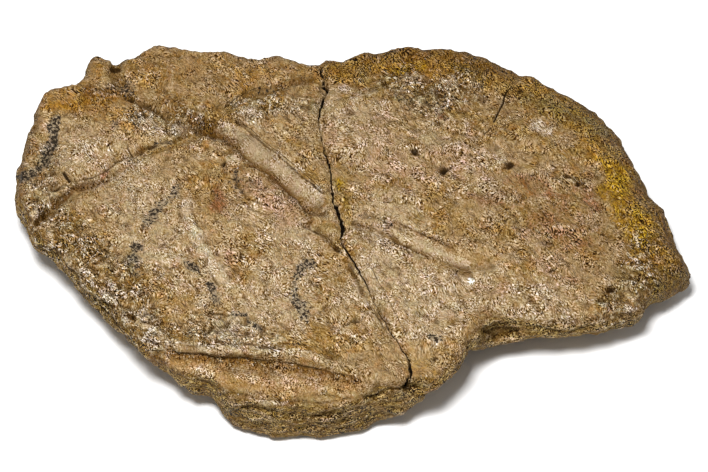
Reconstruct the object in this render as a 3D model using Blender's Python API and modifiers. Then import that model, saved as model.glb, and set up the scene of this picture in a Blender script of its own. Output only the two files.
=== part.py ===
"""Fossil frill fragment: one broad plate of petrified bone that lies flat on its underside.

The plate is drawn as marks on a level sheet that floats SHEET_HEIGHT above the bench and is seen from the
front, leaning over it. `settle` slides a mark back along the line of sight to the height where it really
lies, so an outline can be drawn once and still fit an edge that is high on one side and low on the other.
Lengths in this file are millimetres until `to_metres`, +X is to the right, +Y to the back and +Z up.
"""
import math
from dataclasses import dataclass

import bpy
import bmesh
import numpy as np

# Driving dimensions, in millimetres.
TOP_HEIGHT = 22.5
SLAB_HEIGHT = 22.0
VOXEL = 0.8
FACE_BUDGET = 9400

# The sheet and the eye that looks down on it.
SHEET_HEIGHT = 20.0
EYE_DISTANCE = 900.0
EYE_AIM_HEIGHT = 16.0
EYE_ELEVATION = math.radians(52.0)

# How fast an edge counts as far once it faces back, and how sharply the edge schedule blends.
TURN_RANGE = 0.3
BLEND_SOFTNESS = 2.0

# The outline on the sheet, clockwise from the left tip, as (right, back).
LEFT_EDGE = (
    (-103, 22), (-102, 27), (-101.5, 34), (-101, 39), (-99.5, 44), (-99.5, 48), (-98.5, 52), (-97, 56),
)
KNOB_EDGE = (
    (-94, 57), (-90, 58), (-87, 59), (-85.5, 62), (-85, 66), (-84, 69.5), (-81.5, 71.5), (-79.5, 70.5),
    (-77, 69), (-74.5, 67.8), (-72.5, 69.3),
)
BACK_EDGE = (
    (-69.5, 70.5), (-67, 73), (-64, 75), (-60, 76), (-56, 75), (-50, 73.5), (-44, 72.8), (-39, 73),
    (-33, 70.5), (-29.5, 70), (-27, 71.3), (-24, 72), (-20, 70.5), (-17, 69), (-14, 68), (-11, 67.8),
    (-9, 68.8), (-4, 69), (0, 72), (3, 73.5), (7, 72.4), (11, 73), (15, 74.7), (18, 75.3), (22, 74.1),
    (27, 75.3), (30, 74),
)
MARGIN_EDGE = (
    (38, 72), (44, 69), (48, 65.5), (52, 63), (55.5, 63.2), (58, 61), (63.5, 57.4), (70, 52), (75, 48.3),
    (80, 42), (82.6, 38), (85, 29.5), (89, 19.5), (90, 14.3), (93.3, 10.5), (94.6, 6), (96, 1), (97.2, -4),
    (98.8, -10), (100, -17.5),
)
LOWER_RIGHT_EDGE = (
    (98, -20.3), (94, -23.3), (91, -25), (87.5, -26), (85.5, -29), (84, -32.5), (79, -34.5), (73, -36.3),
    (64, -37.5), (56, -38), (51, -38.9), (46, -40.8), (41, -42), (36, -42.5), (33.8, -42.3),
)
FRONT_EDGE = (
    (32.7, -45), (31, -49.3), (28.5, -52.5), (25, -55.5), (21, -58.7), (18, -61.5), (14, -65.5), (9, -67),
    (5.5, -69.5), (2, -71.8), (-4, -73.8), (-10, -74.8), (-16, -73.8), (-23, -74.4), (-28, -72.3),
    (-34.5, -70.4),
)
LOWER_LEFT_EDGE = (
    (-37.5, -66.3), (-40.3, -60.6), (-43, -59.3), (-46.3, -59), (-50.6, -55), (-54.5, -51.2),
    (-58.5, -48.6), (-62.6, -43.6), (-65.6, -40), (-68.3, -36.8), (-71, -35), (-74.5, -31.6),
    (-80.5, -23.6), (-85.5, -16), (-90.5, -10), (-95.5, -6), (-97.3, -1.5), (-99.5, 3.5), (-102, 7),
    (-102.5, 13), (-102, 19),
)
OUTLINE = (LEFT_EDGE + KNOB_EDGE + BACK_EDGE + MARGIN_EDGE + LOWER_RIGHT_EDGE + FRONT_EDGE
           + LOWER_LEFT_EDGE)


@dataclass(frozen=True)
class Edge:
    """How the rim is shaped near one mark: where its wall stops above and below, and how it rolls."""

    mark: tuple
    shoulder: float
    heel: float
    roll: float
    tuck: float


EDGES = (
    Edge(mark=(-103, 20), shoulder=14, heel=9, roll=4, tuck=13),
    Edge(mark=(-97, 56), shoulder=14, heel=8, roll=4, tuck=12),
    Edge(mark=(-82, 71), shoulder=15, heel=8, roll=3, tuck=12),
    Edge(mark=(-60, 76), shoulder=15.5, heel=7, roll=4, tuck=12),
    Edge(mark=(-12, 68), shoulder=16, heel=7, roll=4, tuck=12),
    Edge(mark=(27, 75), shoulder=14, heel=7, roll=6, tuck=12),
    Edge(mark=(52, 63), shoulder=10, heel=6, roll=11, tuck=11),
    Edge(mark=(80, 42), shoulder=8, heel=5, roll=14, tuck=10),
    Edge(mark=(94, 8), shoulder=7.5, heel=5, roll=14, tuck=10),
    Edge(mark=(100, -17), shoulder=9, heel=7, roll=8, tuck=10),
    Edge(mark=(84, -31), shoulder=13, heel=10.5, roll=4, tuck=13),
    Edge(mark=(60, -37), shoulder=16.5, heel=13, roll=3, tuck=16),
    Edge(mark=(42, -41), shoulder=14, heel=10, roll=4, tuck=14),
    Edge(mark=(33, -45), shoulder=19, heel=16.5, roll=3, tuck=22),
    Edge(mark=(24, -56), shoulder=19, heel=17, roll=3, tuck=22),
    Edge(mark=(14, -65), shoulder=19, heel=8, roll=2.5, tuck=11),
    Edge(mark=(4, -70), shoulder=18.5, heel=1.5, roll=2.5, tuck=4),
    Edge(mark=(-10, -74), shoulder=18, heel=0.3, roll=2.5, tuck=3),
    Edge(mark=(-33, -70), shoulder=18, heel=1.5, roll=2.5, tuck=4),
    Edge(mark=(-41, -59), shoulder=17.5, heel=7, roll=3, tuck=10),
    Edge(mark=(-52, -52), shoulder=17.5, heel=11, roll=3, tuck=15),
    Edge(mark=(-63, -42), shoulder=19, heel=16, roll=3, tuck=21),
    Edge(mark=(-76, -29), shoulder=19, heel=12, roll=2.5, tuck=17),
    Edge(mark=(-90, -10), shoulder=18, heel=13.5, roll=3, tuck=18),
    Edge(mark=(-101, 6), shoulder=15, heel=10, roll=3, tuck=14),
)


@dataclass(frozen=True)
class Channel:
    """A furrow pressed into the top face along a line of marks on the sheet."""

    name: str
    marks: tuple
    half_width: float
    depth: float


CHANNELS = (
    Channel(
        name="main vessel groove",
        marks=((-46, 43), (-40, 40.5), (-33, 35), (-25, 27), (-17, 18), (-11, 10)),
        half_width=4.6,
        depth=2.6,
    ),
    Channel(
        name="right vessel groove",
        marks=((2, 5), (12, 1), (22, -3.5), (31, -8), (39, -11)),
        half_width=4.2,
        depth=1.7,
    ),
    Channel(
        name="top groove",
        marks=((-47, 44), (-41, 50), (-35, 54.5), (-27, 57.5), (-19, 61), (-11, 64)),
        half_width=3.4,
        depth=1.8,
    ),
    Channel(
        name="knob valley",
        marks=((-75, 68), (-73, 58), (-67, 54), (-59, 49), (-52, 43.5), (-47, 41)),
        half_width=3.2,
        depth=1.3,
    ),
    Channel(
        name="left creek",
        marks=((-96, 6), (-92, 12), (-87, 18), (-79, 21.5), (-72, 27), (-64, 33), (-55, 36.5), (-49, 40)),
        half_width=2.8,
        depth=1.5,
    ),
    Channel(
        name="crack",
        marks=((-10.5, 70), (-9.3, 60), (-10.5, 47), (-8.5, 33), (-6.8, 17), (-3.8, 4), (-2.5, -5.5),
               (3, -17), (8, -30), (13.5, -41), (16, -50), (16, -56)),
        half_width=1.3,
        depth=1.4,
    ),
    Channel(
        name="crack side groove",
        marks=((-11, 4), (-6, -3), (-1, -13), (4, -24), (9, -35)),
        half_width=2.2,
        depth=1.1,
    ),
    Channel(
        name="fold crease",
        marks=((-58, -43.5), (-45, -45), (-30, -47), (-18, -48.5), (-8, -51), (2, -54.5)),
        half_width=1.8,
        depth=1.6,
    ),
)


@dataclass(frozen=True)
class Swell:
    """A broad rise of the top face, or a hollow where its height is negative."""

    centre: tuple
    reach: tuple
    height: float


SWELLS = (
    Swell(centre=(-100, 25), reach=(26, 40), height=-2.8),
    Swell(centre=(-30, 6), reach=(20, 16), height=0.9),
    Swell(centre=(-45, 64), reach=(24, 8), height=0.8),
    Swell(centre=(-64, 43), reach=(9, 7), height=1.0),
    Swell(centre=(20, 25), reach=(26, 18), height=0.6),
    Swell(centre=(12, 64), reach=(26, 7), height=-1.2),
    Swell(centre=(95, 20), reach=(26, 60), height=-4.5),
    Swell(centre=(60, 60), reach=(26, 18), height=-2.5),
    Swell(centre=(-30, -42), reach=(22, 3.5), height=1.2),
    Swell(centre=(12, -46), reach=(12, 8), height=-1.0),
    Swell(centre=(78, -32), reach=(26, 16), height=-3.5),
)

# The step down from the top face to the smooth shelf above the front wall.
SHELF_LINE = ((-62, -41), (-45, -44), (-30, -46.5), (-16, -48.8), (-6, -51.5), (4, -55), (16, -57))
SHELF_DROP = 3.2
SHELF_RAMP = 2.0
SHELF_FADE = 12.0


@dataclass(frozen=True)
class Bite:
    """A hollow broken out of the wall: its mark on the sheet, its level, and how wide and deep it is."""

    mark: tuple
    level: float
    reach: float
    depth: float


BITES = (
    Bite(mark=(43, -37), level=16.0, reach=5.0, depth=3.4),
    Bite(mark=(16, -57), level=18.0, reach=3.0, depth=1.6),
    Bite(mark=(-74, -27), level=15.0, reach=6.0, depth=1.4),
)

# The plate stands on its whole underside but for these shallow hollows, which start past HOLLOW_START.
UNDERSIDE_HOLLOWS = (
    Swell(centre=(62, 18), reach=(22, 26), height=2.2),
    Swell(centre=(-78, 22), reach=(14, 22), height=1.6),
    Swell(centre=(10, 58), reach=(34, 8), height=1.2),
)
HOLLOW_START = 0.25

# Ledges on the broken wall, how deep they reach in, and how the tuck under the rim eases out.
WALL_SKIN = 3.0
LAYER_PITCH = 3.1
LAYER_DEPTH = 0.35
CHAMFER_EASE = 1.6

MERGE_DISTANCE = 0.01
STONE_COLOUR = (0.42, 0.26, 0.12, 1.0)
STONE_ROUGHNESS = 0.55


def settle(marks, height):
    """Slide marks on the sheet along the line of sight to the height where they lie."""
    eye_y = -EYE_DISTANCE * math.cos(EYE_ELEVATION)
    eye_z = EYE_AIM_HEIGHT + EYE_DISTANCE * math.sin(EYE_ELEVATION)
    marks = np.asarray(marks, dtype=float)
    stretch = (eye_z - np.asarray(height, dtype=float)) / (eye_z - SHEET_HEIGHT)
    x = marks[:, 0] * stretch
    y = eye_y + (marks[:, 1] - eye_y) * stretch
    return np.stack([x, y], axis=1)


def outward_normals(loop):
    """Unit normals of a clockwise loop of points, pointing out of it."""
    along = np.roll(loop, -1, axis=0) - np.roll(loop, 1, axis=0)
    along /= np.linalg.norm(along, axis=1)[:, None]
    return np.stack([-along[:, 1], along[:, 0]], axis=1)


def edge_values(marks):
    """Blend the edge schedule by nearness: columns shoulder, heel, roll and tuck."""
    table = np.array([(e.shoulder, e.heel, e.roll, e.tuck) for e in EDGES])
    places = np.array([e.mark for e in EDGES], dtype=float)
    gap = np.linalg.norm(marks[:, None, :] - places[None, :, :], axis=2)
    weight = 1.0 / (gap + BLEND_SOFTNESS) ** 3
    return weight @ table / weight.sum(axis=1)[:, None]


def grazed_rise(width, height):
    """How far above its shoulder a line of sight grazes a quarter-ellipse roll of the rim."""
    across = width * math.sin(EYE_ELEVATION)
    upright = height * math.cos(EYE_ELEVATION)
    return (np.sqrt(across ** 2 + upright ** 2) - across) / math.cos(EYE_ELEVATION)


def rim_schedule():
    """The plan outline and the edge values at each of its points.

    A line of sight grazes the heel of a near edge and the rolled shoulder of a far one.
    """
    marks = np.array(OUTLINE, dtype=float)
    values = edge_values(marks)
    shoulder, heel, roll, _ = values.T
    rise = TOP_HEIGHT + swell_sum(settle(marks, TOP_HEIGHT), SWELLS) - shoulder
    far_height = shoulder + grazed_rise(roll, rise)
    far = np.clip(0.5 + outward_normals(marks)[:, 1] / TURN_RANGE, 0.0, 1.0)
    return settle(marks, heel + (far_height - heel) * far), values


def along_loop(place, loop, values):
    """Values at places along a closed loop, blended between its points."""
    lengths = np.linalg.norm(np.roll(loop, -1, axis=0) - loop, axis=1)
    stations = np.concatenate([[0.0], np.cumsum(lengths)])
    columns = np.vstack([values, values[:1]]).T
    return [np.interp(place, stations, column) for column in columns]


def nearest_on(points, line, closed=False):
    """Nearest place on a polyline: the gap to it, the run along the line and the line's left-hand normal."""
    line = np.asarray(line, dtype=float)
    starts = line if closed else line[:-1]
    ends = np.roll(line, -1, axis=0) if closed else line[1:]
    gap = np.full(len(points), np.inf)
    place = np.zeros(len(points))
    normal = np.zeros((len(points), 2))
    run = 0.0
    for start, end in zip(starts, ends):
        span = end - start
        length = np.linalg.norm(span)
        share = np.clip((points - start) @ span / length ** 2, 0.0, 1.0)
        distance = np.linalg.norm(points - start - share[:, None] * span, axis=1)
        nearer = distance < gap
        gap[nearer] = distance[nearer]
        place[nearer] = run + share[nearer] * length
        normal[nearer] = (-span[1] / length, span[0] / length)
        run += length
    return gap, place, normal


def swell_sum(points, swells):
    """Add up bell-shaped rises and hollows."""
    total = np.zeros(len(points))
    for swell in swells:
        offset = (points - np.array(swell.centre)) / np.array(swell.reach)
        total += swell.height * np.exp(-(offset ** 2).sum(axis=1))
    return total


def channel_depth(points, channel):
    """Depth of one furrow: a smooth round-bottomed section that dies away at both ends."""
    gap = nearest_on(points, settle(channel.marks, TOP_HEIGHT))[0]
    share = np.clip(gap / channel.half_width, 0.0, 1.0)
    return channel.depth * (1.0 - share ** 2) ** 2


def shelf_depth(points):
    """Step down in front of the shelf line, full depth once past the ramp."""
    line = settle(SHELF_LINE, TOP_HEIGHT)
    crease = np.interp(points[:, 0], line[:, 0], line[:, 1])
    past = np.clip((crease - points[:, 1]) / SHELF_RAMP + 0.5, 0.0, 1.0)
    fade = np.clip((line[-1, 0] - points[:, 0]) / SHELF_FADE, 0.0, 1.0)
    return SHELF_DROP * fade * past ** 2 * (3.0 - 2.0 * past)


def top_field(points):
    """Height of the top face away from the rim."""
    height = TOP_HEIGHT + swell_sum(points, SWELLS) - shelf_depth(points)
    return height - sum(channel_depth(points, channel) for channel in CHANNELS)


def quarter_round(share):
    """One at the rim, zero once a full roll inside it, along a quarter circle."""
    inner = 1.0 - np.clip(share, 0.0, 1.0)
    return 1.0 - np.sqrt(1.0 - inner ** 2)


def chamfer(share):
    """One at the rim, zero once a full tuck inside it, along a slope that eases into the underside."""
    return (1.0 - np.clip(share, 0.0, 1.0)) ** CHAMFER_EASE


def wall_layers(place, height):
    """Low ledges that run along the broken wall and wander up and down it."""
    wander = 1.4 * np.sin(place / 17.0) + 0.9 * np.sin(place / 7.3 + 1.0)
    return LAYER_DEPTH * np.sin(2.0 * math.pi * (height + wander) / LAYER_PITCH)


def shape_plate(points):
    """Give the plain slab its relief, rolled rim, tucked underside and broken wall."""
    plan = points[:, :2]
    share_up = np.clip(points[:, 2] / SLAB_HEIGHT, 0.0, 1.0)
    loop, values = rim_schedule()
    gap, place, outward = nearest_on(plan, loop, closed=True)
    shoulder, heel, roll, tuck = along_loop(place, loop, values)

    field = top_field(plan)
    top = field - np.maximum(field - shoulder, 0.0) * quarter_round(gap / roll)
    hollows = np.maximum(swell_sum(plan, UNDERSIDE_HOLLOWS) - HOLLOW_START, 0.0)
    under = hollows + np.maximum(heel - hollows, 0.0) * chamfer(gap / tuck)
    height = under + share_up * (top - under)

    at_wall = np.clip(1.0 - gap / WALL_SKIN, 0.0, 1.0) * 4.0 * share_up * (1.0 - share_up)
    push = at_wall * wall_layers(place, height)
    for bite in BITES:
        centre = np.append(settle([bite.mark], bite.level)[0], bite.level)
        away = np.linalg.norm(np.column_stack([plan, height]) - centre, axis=1)
        push += bite.depth * np.exp(-(away / bite.reach) ** 2)
    return np.column_stack([plan - outward * push[:, None], height])


def linked_object(name, data, collection):
    """Make an object from data and put it in a collection."""
    made = bpy.data.objects.new(name, data)
    collection.objects.link(made)
    return made


def evaluated_mesh(source):
    """The mesh of an object as its modifiers leave it, with the object and its old data removed."""
    bpy.context.view_layer.update()
    graph = bpy.context.evaluated_depsgraph_get()
    mesh = bpy.data.meshes.new_from_object(source.evaluated_get(graph))
    bpy.data.objects.remove(source)
    return mesh


def plain_slab(collection):
    """The outline as a flat curve, extruded to the slab's height and welded shut."""
    curve = bpy.data.curves.new("slab_outline", "CURVE")
    curve.dimensions = "2D"
    curve.fill_mode = "BOTH"
    curve.extrude = SLAB_HEIGHT / 2.0
    spline = curve.splines.new("POLY")
    loop, _ = rim_schedule()
    spline.points.add(len(loop) - 1)
    for point, (x, y) in zip(spline.points, loop):
        point.co = (x, y, SLAB_HEIGHT / 2.0, 1.0)
    spline.use_cyclic_u = True
    mesh = evaluated_mesh(linked_object("slab_outline", curve, collection))
    shell = bmesh.new()
    shell.from_mesh(mesh)
    bmesh.ops.remove_doubles(shell, verts=shell.verts, dist=MERGE_DISTANCE)
    bmesh.ops.recalc_face_normals(shell, faces=shell.faces)
    shell.to_mesh(mesh)
    shell.free()
    return linked_object("slab", mesh, collection)


def even_mesh(slab):
    """Remesh the slab to small even faces that can be pushed into relief."""
    remesh = slab.modifiers.new("Even faces", "REMESH")
    remesh.mode = "VOXEL"
    remesh.voxel_size = VOXEL
    return evaluated_mesh(slab)


def to_metres(points):
    """Stand the plate on the bench with its box centred on the origin, in metres."""
    low, high = points.min(axis=0), points.max(axis=0)
    middle = np.array([(low[0] + high[0]) / 2.0, (low[1] + high[1]) / 2.0, low[2]])
    return (points - middle) / 1000.0


def stone_material():
    """Golden-brown petrified bone."""
    material = bpy.data.materials.new("petrified_bone")
    material.use_nodes = True
    shader = material.node_tree.nodes["Principled BSDF"]
    shader.inputs["Base Color"].default_value = STONE_COLOUR
    shader.inputs["Roughness"].default_value = STONE_ROUGHNESS
    shader.inputs["Metallic"].default_value = 0.0
    return material


def build_frill(collection):
    """Outline, even mesh, relief, then fewer faces where the surface is plain."""
    mesh = even_mesh(plain_slab(collection))
    points = np.empty(len(mesh.vertices) * 3)
    mesh.vertices.foreach_get("co", points)
    points = to_metres(shape_plate(points.reshape(-1, 3)))
    mesh.vertices.foreach_set("co", points.ravel())
    mesh.update()
    mesh.name = "frill"
    mesh.materials.append(stone_material())
    frill = linked_object("frill", mesh, collection)
    thin = frill.modifiers.new("Fewer faces", "DECIMATE")
    thin.ratio = FACE_BUDGET / sum(len(face.vertices) - 2 for face in mesh.polygons)
    return frill


def main():
    """Clear the scene and build the fossil."""
    for old in list(bpy.data.objects):
        bpy.data.objects.remove(old, do_unlink=True)
    collection = bpy.data.collections.new("fossil_frill")
    bpy.context.scene.collection.children.link(collection)
    build_frill(collection)


if __name__ == "__main__":
    main()
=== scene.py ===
"""Looks of one slab of fossil frill bone: its weathered face, vessel grooves, long crack and broken sides.

Lengths are millimetres in the row frame until a mesh, a lamp or the camera needs metres. Marks on the face
are u, v pairs on a level sheet a little under the face, u to the right and v to the back, as an eye in
front of and above the slab sees them. A row of marks is written flat: u, v, u, v and so on.
"""
import logging
import math
from dataclasses import dataclass
from enum import Enum

import bmesh
import bpy
import numpy as np
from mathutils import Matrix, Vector


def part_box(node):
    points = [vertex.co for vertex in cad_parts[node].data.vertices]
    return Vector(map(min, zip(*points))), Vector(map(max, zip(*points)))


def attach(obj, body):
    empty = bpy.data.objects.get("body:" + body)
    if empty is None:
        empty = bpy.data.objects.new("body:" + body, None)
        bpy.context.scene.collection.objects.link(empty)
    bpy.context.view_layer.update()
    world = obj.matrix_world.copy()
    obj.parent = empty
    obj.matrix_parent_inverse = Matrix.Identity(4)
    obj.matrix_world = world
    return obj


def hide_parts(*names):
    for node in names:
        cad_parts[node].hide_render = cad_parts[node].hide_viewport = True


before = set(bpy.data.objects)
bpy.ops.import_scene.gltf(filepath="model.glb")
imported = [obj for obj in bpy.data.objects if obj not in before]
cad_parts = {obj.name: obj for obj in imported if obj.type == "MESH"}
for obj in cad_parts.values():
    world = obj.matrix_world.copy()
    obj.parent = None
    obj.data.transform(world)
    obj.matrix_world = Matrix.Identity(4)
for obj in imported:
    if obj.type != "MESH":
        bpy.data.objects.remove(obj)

logging.basicConfig(level=logging.INFO, format="%(name)s: %(message)s")
log = logging.getLogger("frill")

MM = 0.001
Marks = tuple[float, ...]
Colour = tuple[float, float, float, float]


# ---------------------------------------------------------------- marks and where they lie

@dataclass(frozen=True)
class Sight:
    """The eye that every mark on the sheet is seen from."""

    aim: tuple[float, float, float] = (1.204, -7.664, 16.0)
    distance: float = 900.0
    elevation: float = 52.0
    sheet_height: float = 20.0
    sheet_shift: tuple[float, float] = (-1.204, 7.664)

    def eye(self) -> np.ndarray:
        """Find where the eye is.

        Returns:
            Its place.
        """
        rise = math.radians(self.elevation)
        back = np.array([0.0, -math.cos(rise), math.sin(rise)])
        return np.array(self.aim) + back * self.distance

    def marks_of(self, points: np.ndarray) -> np.ndarray:
        """Slide points along their sight lines onto the sheet.

        Args:
            points: places on the slab, one row each.

        Returns:
            One (u, v) row for each point.
        """
        eye = self.eye()
        share = (eye[2] - self.sheet_height) / (eye[2] - points[:, 2])
        return (eye + (points - eye) * share[:, None])[:, :2] + np.array(self.sheet_shift)

    def facing(self, points: np.ndarray, normals: np.ndarray) -> np.ndarray:
        """Compare each normal with the way to the eye.

        Args:
            points: places on the slab.
            normals: their outward directions.

        Returns:
            The cosine between the two for each point, negative where it is turned away.
        """
        way = self.eye() - points
        way /= np.linalg.norm(way, axis=1)[:, None]
        return (way * normals).sum(axis=1)


def eased(share: np.ndarray) -> np.ndarray:
    """Return a smooth step of a number that is cut off at 0 and 1."""
    cut = np.clip(share, 0.0, 1.0)
    return cut * cut * (3.0 - 2.0 * cut)


def rows_of(marks: Marks, width: int = 2) -> np.ndarray:
    """Return flat marks as rows."""
    return np.reshape(np.array(marks, float), (-1, width))


def flowing(marks: Marks, step: float = 1.2) -> np.ndarray:
    """Run a smooth curve through marks.

    Args:
        marks: the places that the curve passes.
        step: about how far apart its points are.

    Returns:
        The curve's points, one row each.
    """
    places = rows_of(marks)
    if len(places) < 3:
        return places
    padded = np.vstack([2 * places[0] - places[1], places, 2 * places[-1] - places[-2]])
    found = []
    for before, start, end, after in zip(padded, padded[1:], padded[2:], padded[3:]):
        count = max(2, int(np.linalg.norm(end - start) / step))
        t = (np.arange(count) / count)[:, None]
        found.append(0.5 * (2 * start + (end - before) * t
                            + (2 * before - 5 * start + 4 * end - after) * t ** 2
                            + (3 * start - before - 3 * end + after) * t ** 3))
    return np.vstack(found + [places[-1:]])


@dataclass(frozen=True)
class Nearness:
    """How places lie to a line: gap to it, how far along, and on which side (1 left of travel, -1 right)."""

    gap: np.ndarray
    along: np.ndarray
    side: np.ndarray
    length: float

    def ends(self, ease: float) -> np.ndarray:
        """Return 1 along the line, falling to 0 over the ease at both its ends."""
        return eased(self.along / ease) * eased((self.length - self.along) / ease)


def near_line(places: np.ndarray, line: np.ndarray) -> Nearness:
    """Measure places against a line.

    Args:
        places: (u, v) rows.
        line: the line's points in order.

    Returns:
        How each place lies to it.
    """
    gap = np.full(len(places), np.inf)
    along = np.zeros(len(places))
    side = np.ones(len(places))
    run = 0.0
    if len(line) == 1:
        away = places - line[0]
        return Nearness(np.hypot(away[:, 0], away[:, 1]), along, side, 0.0)
    for start, end in zip(line[:-1], line[1:]):
        way = end - start
        length = float(np.hypot(*way))
        away = places - start
        share = np.clip((away @ way) / length ** 2, 0.0, 1.0)
        off = away - share[:, None] * way
        here = np.hypot(off[:, 0], off[:, 1])
        closer = here < gap
        gap = np.where(closer, here, gap)
        along = np.where(closer, run + share * length, along)
        turn = way[0] * away[:, 1] - way[1] * away[:, 0]
        side = np.where(closer, np.where(turn >= 0, 1.0, -1.0), side)
        run += length
    return Nearness(gap, along, side, run)


def turned(places: np.ndarray, degrees: float) -> tuple[np.ndarray, np.ndarray]:
    """Measure places along and across a direction.

    Args:
        places: rows whose first two numbers are x and y.
        degrees: the direction, from the x axis.

    Returns:
        The distances along it and across it.
    """
    angle = math.radians(degrees)
    along = places[:, 0] * math.cos(angle) + places[:, 1] * math.sin(angle)
    across = places[:, 1] * math.cos(angle) - places[:, 0] * math.sin(angle)
    return along, across


# ---------------------------------------------------------------- noise for the relief

def lattice(cells: np.ndarray, seed: int) -> np.ndarray:
    """Scramble whole-number cells into repeatable numbers.

    Args:
        cells: whole-number rows.
        seed: picks another set of numbers.

    Returns:
        One number from 0 to 1 for each row.
    """
    mixed = cells[:, 0] * 374761393 + cells[:, 1] * 668265263 + cells[:, 2] * 2147483647 + seed * 144665
    mixed = (mixed ^ (mixed >> 13)) * 1274126177 & 0xFFFFFFFF
    mixed = (mixed ^ (mixed >> 16)) * 2246822519 & 0xFFFFFFFF
    return ((mixed ^ (mixed >> 15)) & 0xFFFFFF) / float(0xFFFFFF)


def soft_noise(places: np.ndarray, seed: int) -> np.ndarray:
    """Make smooth noise about zero, one cell wide.

    Args:
        places: rows of coordinates in cells; a third coordinate that is missing is 0.
        seed: picks another pattern.

    Returns:
        One number from -1 to 1 for each row.
    """
    if places.shape[1] == 2:
        places = np.column_stack([places, np.zeros(len(places))])
    floor = np.floor(places).astype(np.int64)
    part = places - floor
    part = part * part * (3.0 - 2.0 * part)
    total = np.zeros(len(places))
    for corner in np.ndindex(2, 2, 2):
        weight = np.prod(np.where(corner, part, 1.0 - part), axis=1)
        total += weight * lattice(floor + np.array(corner), seed)
    return total * 2.0 - 1.0


def rough_noise(places: np.ndarray, seed: int, octaves: int = 3, gain: float = 0.5) -> np.ndarray:
    """Add finer and weaker layers of soft noise.

    Args:
        places: rows of coordinates, in cells of the coarsest layer.
        seed: picks another pattern.
        octaves: how many layers.
        gain: how strong each layer is against the one before.

    Returns:
        One number for each row, mostly from -1 to 1.
    """
    finer, offset, spread = 2.03, 17.7, 1.5
    if places.shape[1] == 2:
        places = np.column_stack([places, np.zeros(len(places))])
    total = np.zeros(len(places))
    for layer in range(octaves):
        total += gain ** layer * soft_noise(places * finer ** layer + offset * layer, seed + layer)
    return total / sum(gain ** layer for layer in range(octaves)) * spread


# ---------------------------------------------------------------- what is carved and stained

class Section(Enum):
    """The shape of a line's cross-section."""

    FURROW = "round-bottomed hollow"
    CREASE = "sharp hollow"
    RIDGE = "rounded rise"
    BANK = "step that is high on the left of the line and low on its right"
    SPLIT = "crack with steep sides"


@dataclass(frozen=True)
class Swing:
    """A strength that swings about its middle, but never goes below its low or above its high."""

    middle: float
    swing: float
    low: float
    high: float

    def by(self, noise: np.ndarray) -> np.ndarray:
        """Return the strength at each number of the noise."""
        return np.clip(self.middle + self.swing * noise, self.low, self.high)


@dataclass(frozen=True)
class Line:
    """Something long and narrow on the face.

    Its depth is how far it goes in, or out for a ridge, its dirt and shade how dark it is with dirt and
    painted shade, ease how long its ends take to fade, and ramp how wide a bank's step is.
    """

    section: Section
    width: float
    depth: float
    dirt_and_shade: float
    ease: float
    marks: Marks
    ramp: float = 0.7

    def height(self, near: Nearness) -> np.ndarray:
        """Shape the face along the line.

        Args:
            near: how each place lies to the line.

        Returns:
            How far each place moves out, negative where it moves in.
        """
        sharpness, lip, lip_reach, foot, foot_reach = 1.6, 0.3, 2.2, 0.7, 1.5
        share = near.gap / self.width
        strength = self.depth * near.ends(self.ease)
        if self.section is Section.CREASE:
            return -strength * np.clip(1.0 - share, 0.0, 1.0) ** sharpness
        if self.section is Section.BANK:
            high = lip * np.exp(-near.gap / (lip_reach * self.width))
            low = -foot * np.exp(-(near.gap / (foot_reach * self.width)) ** 2)
            share = eased(0.5 + near.side * near.gap / self.ramp)
            return strength * (share * high + (1.0 - share) * low)
        bell = strength * (1.0 - np.clip(share, 0.0, 1.0) ** 2) ** 2
        return bell if self.section is Section.RIDGE else -bell

    def darkness(self, near: Nearness) -> np.ndarray:
        """Darken the face along the line with dirt and painted shade, heaviest at the foot of a bank.

        Args:
            near: how each place lies to the line.

        Returns:
            How dark each place is, from 0 to 1.
        """
        narrow, broad, growth, clean_lip, fade = 0.75, 0.9, 0.12, 3.0, 0.8
        reach = min(narrow * self.width, broad + growth * self.width)
        gap = near.gap
        if self.section is Section.BANK:
            gap = np.where(near.side > 0, near.gap * clean_lip, near.gap)
        return self.dirt_and_shade * near.ends(self.ease) * np.clip(1.0 - gap / reach, 0.0, 1.0) ** fade


@dataclass(frozen=True)
class Spot:
    """A pit, or a grain where its depth is negative. Turn is in degrees from the u axis."""

    u: float
    v: float
    length: float
    breadth: float
    depth: float
    dirt_and_shade: float
    turn: float = 0.0

    def nearness(self, places: np.ndarray) -> np.ndarray:
        """Return 1 at the middle, falling to 0 past the spot's reach."""
        across = np.column_stack(turned(places - np.array((self.u, self.v)), self.turn))
        return np.exp(-np.linalg.norm(across / np.array((self.length, self.breadth)), axis=1) ** 3)


class Tint(Enum):
    """Tints by the name of the mask that holds each: mineral and weather stains, and some painted highlight
    and shade.
    """

    OCHRE = "ochre"
    OLIVE = "olive"
    PALE = "pale"
    ROSE = "rose"
    BROWN = "brown"
    MUSTARD = "mustard"
    RUST = "rust"
    LIME = "lime"
    SOOT = "soot"


@dataclass(frozen=True)
class Stain:
    """A cloud of one tint along a line of marks, or round a single mark."""

    tint: Tint
    reach: float
    strength: float
    softness: float
    marks: Marks
    ragged: float = 1.0

    def share(self, places: np.ndarray, wander: np.ndarray) -> np.ndarray:
        """Spread the stain over places.

        Args:
            places: (u, v) rows.
            wander: noise that makes its edge ragged.

        Returns:
            Numbers from 0 to the stain's strength.
        """
        gap = near_line(places, rows_of(self.marks)).gap + wander * self.ragged * self.softness
        return self.strength * eased(0.5 + (self.reach - gap) / (2.0 * self.softness))


def lines(section: Section, *rows: Marks, ramp: float = 0.7) -> tuple[Line, ...]:
    """Read lines of one section: width, depth, dirt and painted shade, ease, then the marks."""
    return tuple(Line(section, *row[:4], row[4:], ramp) for row in rows)


def stains(tint: Tint, *rows: Marks, ragged: float = 1.0) -> tuple[Stain, ...]:
    """Read stains of one tint: reach, strength, softness, then the marks."""
    return tuple(Stain(tint, *row[:3], row[3:], ragged) for row in rows)


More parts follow.
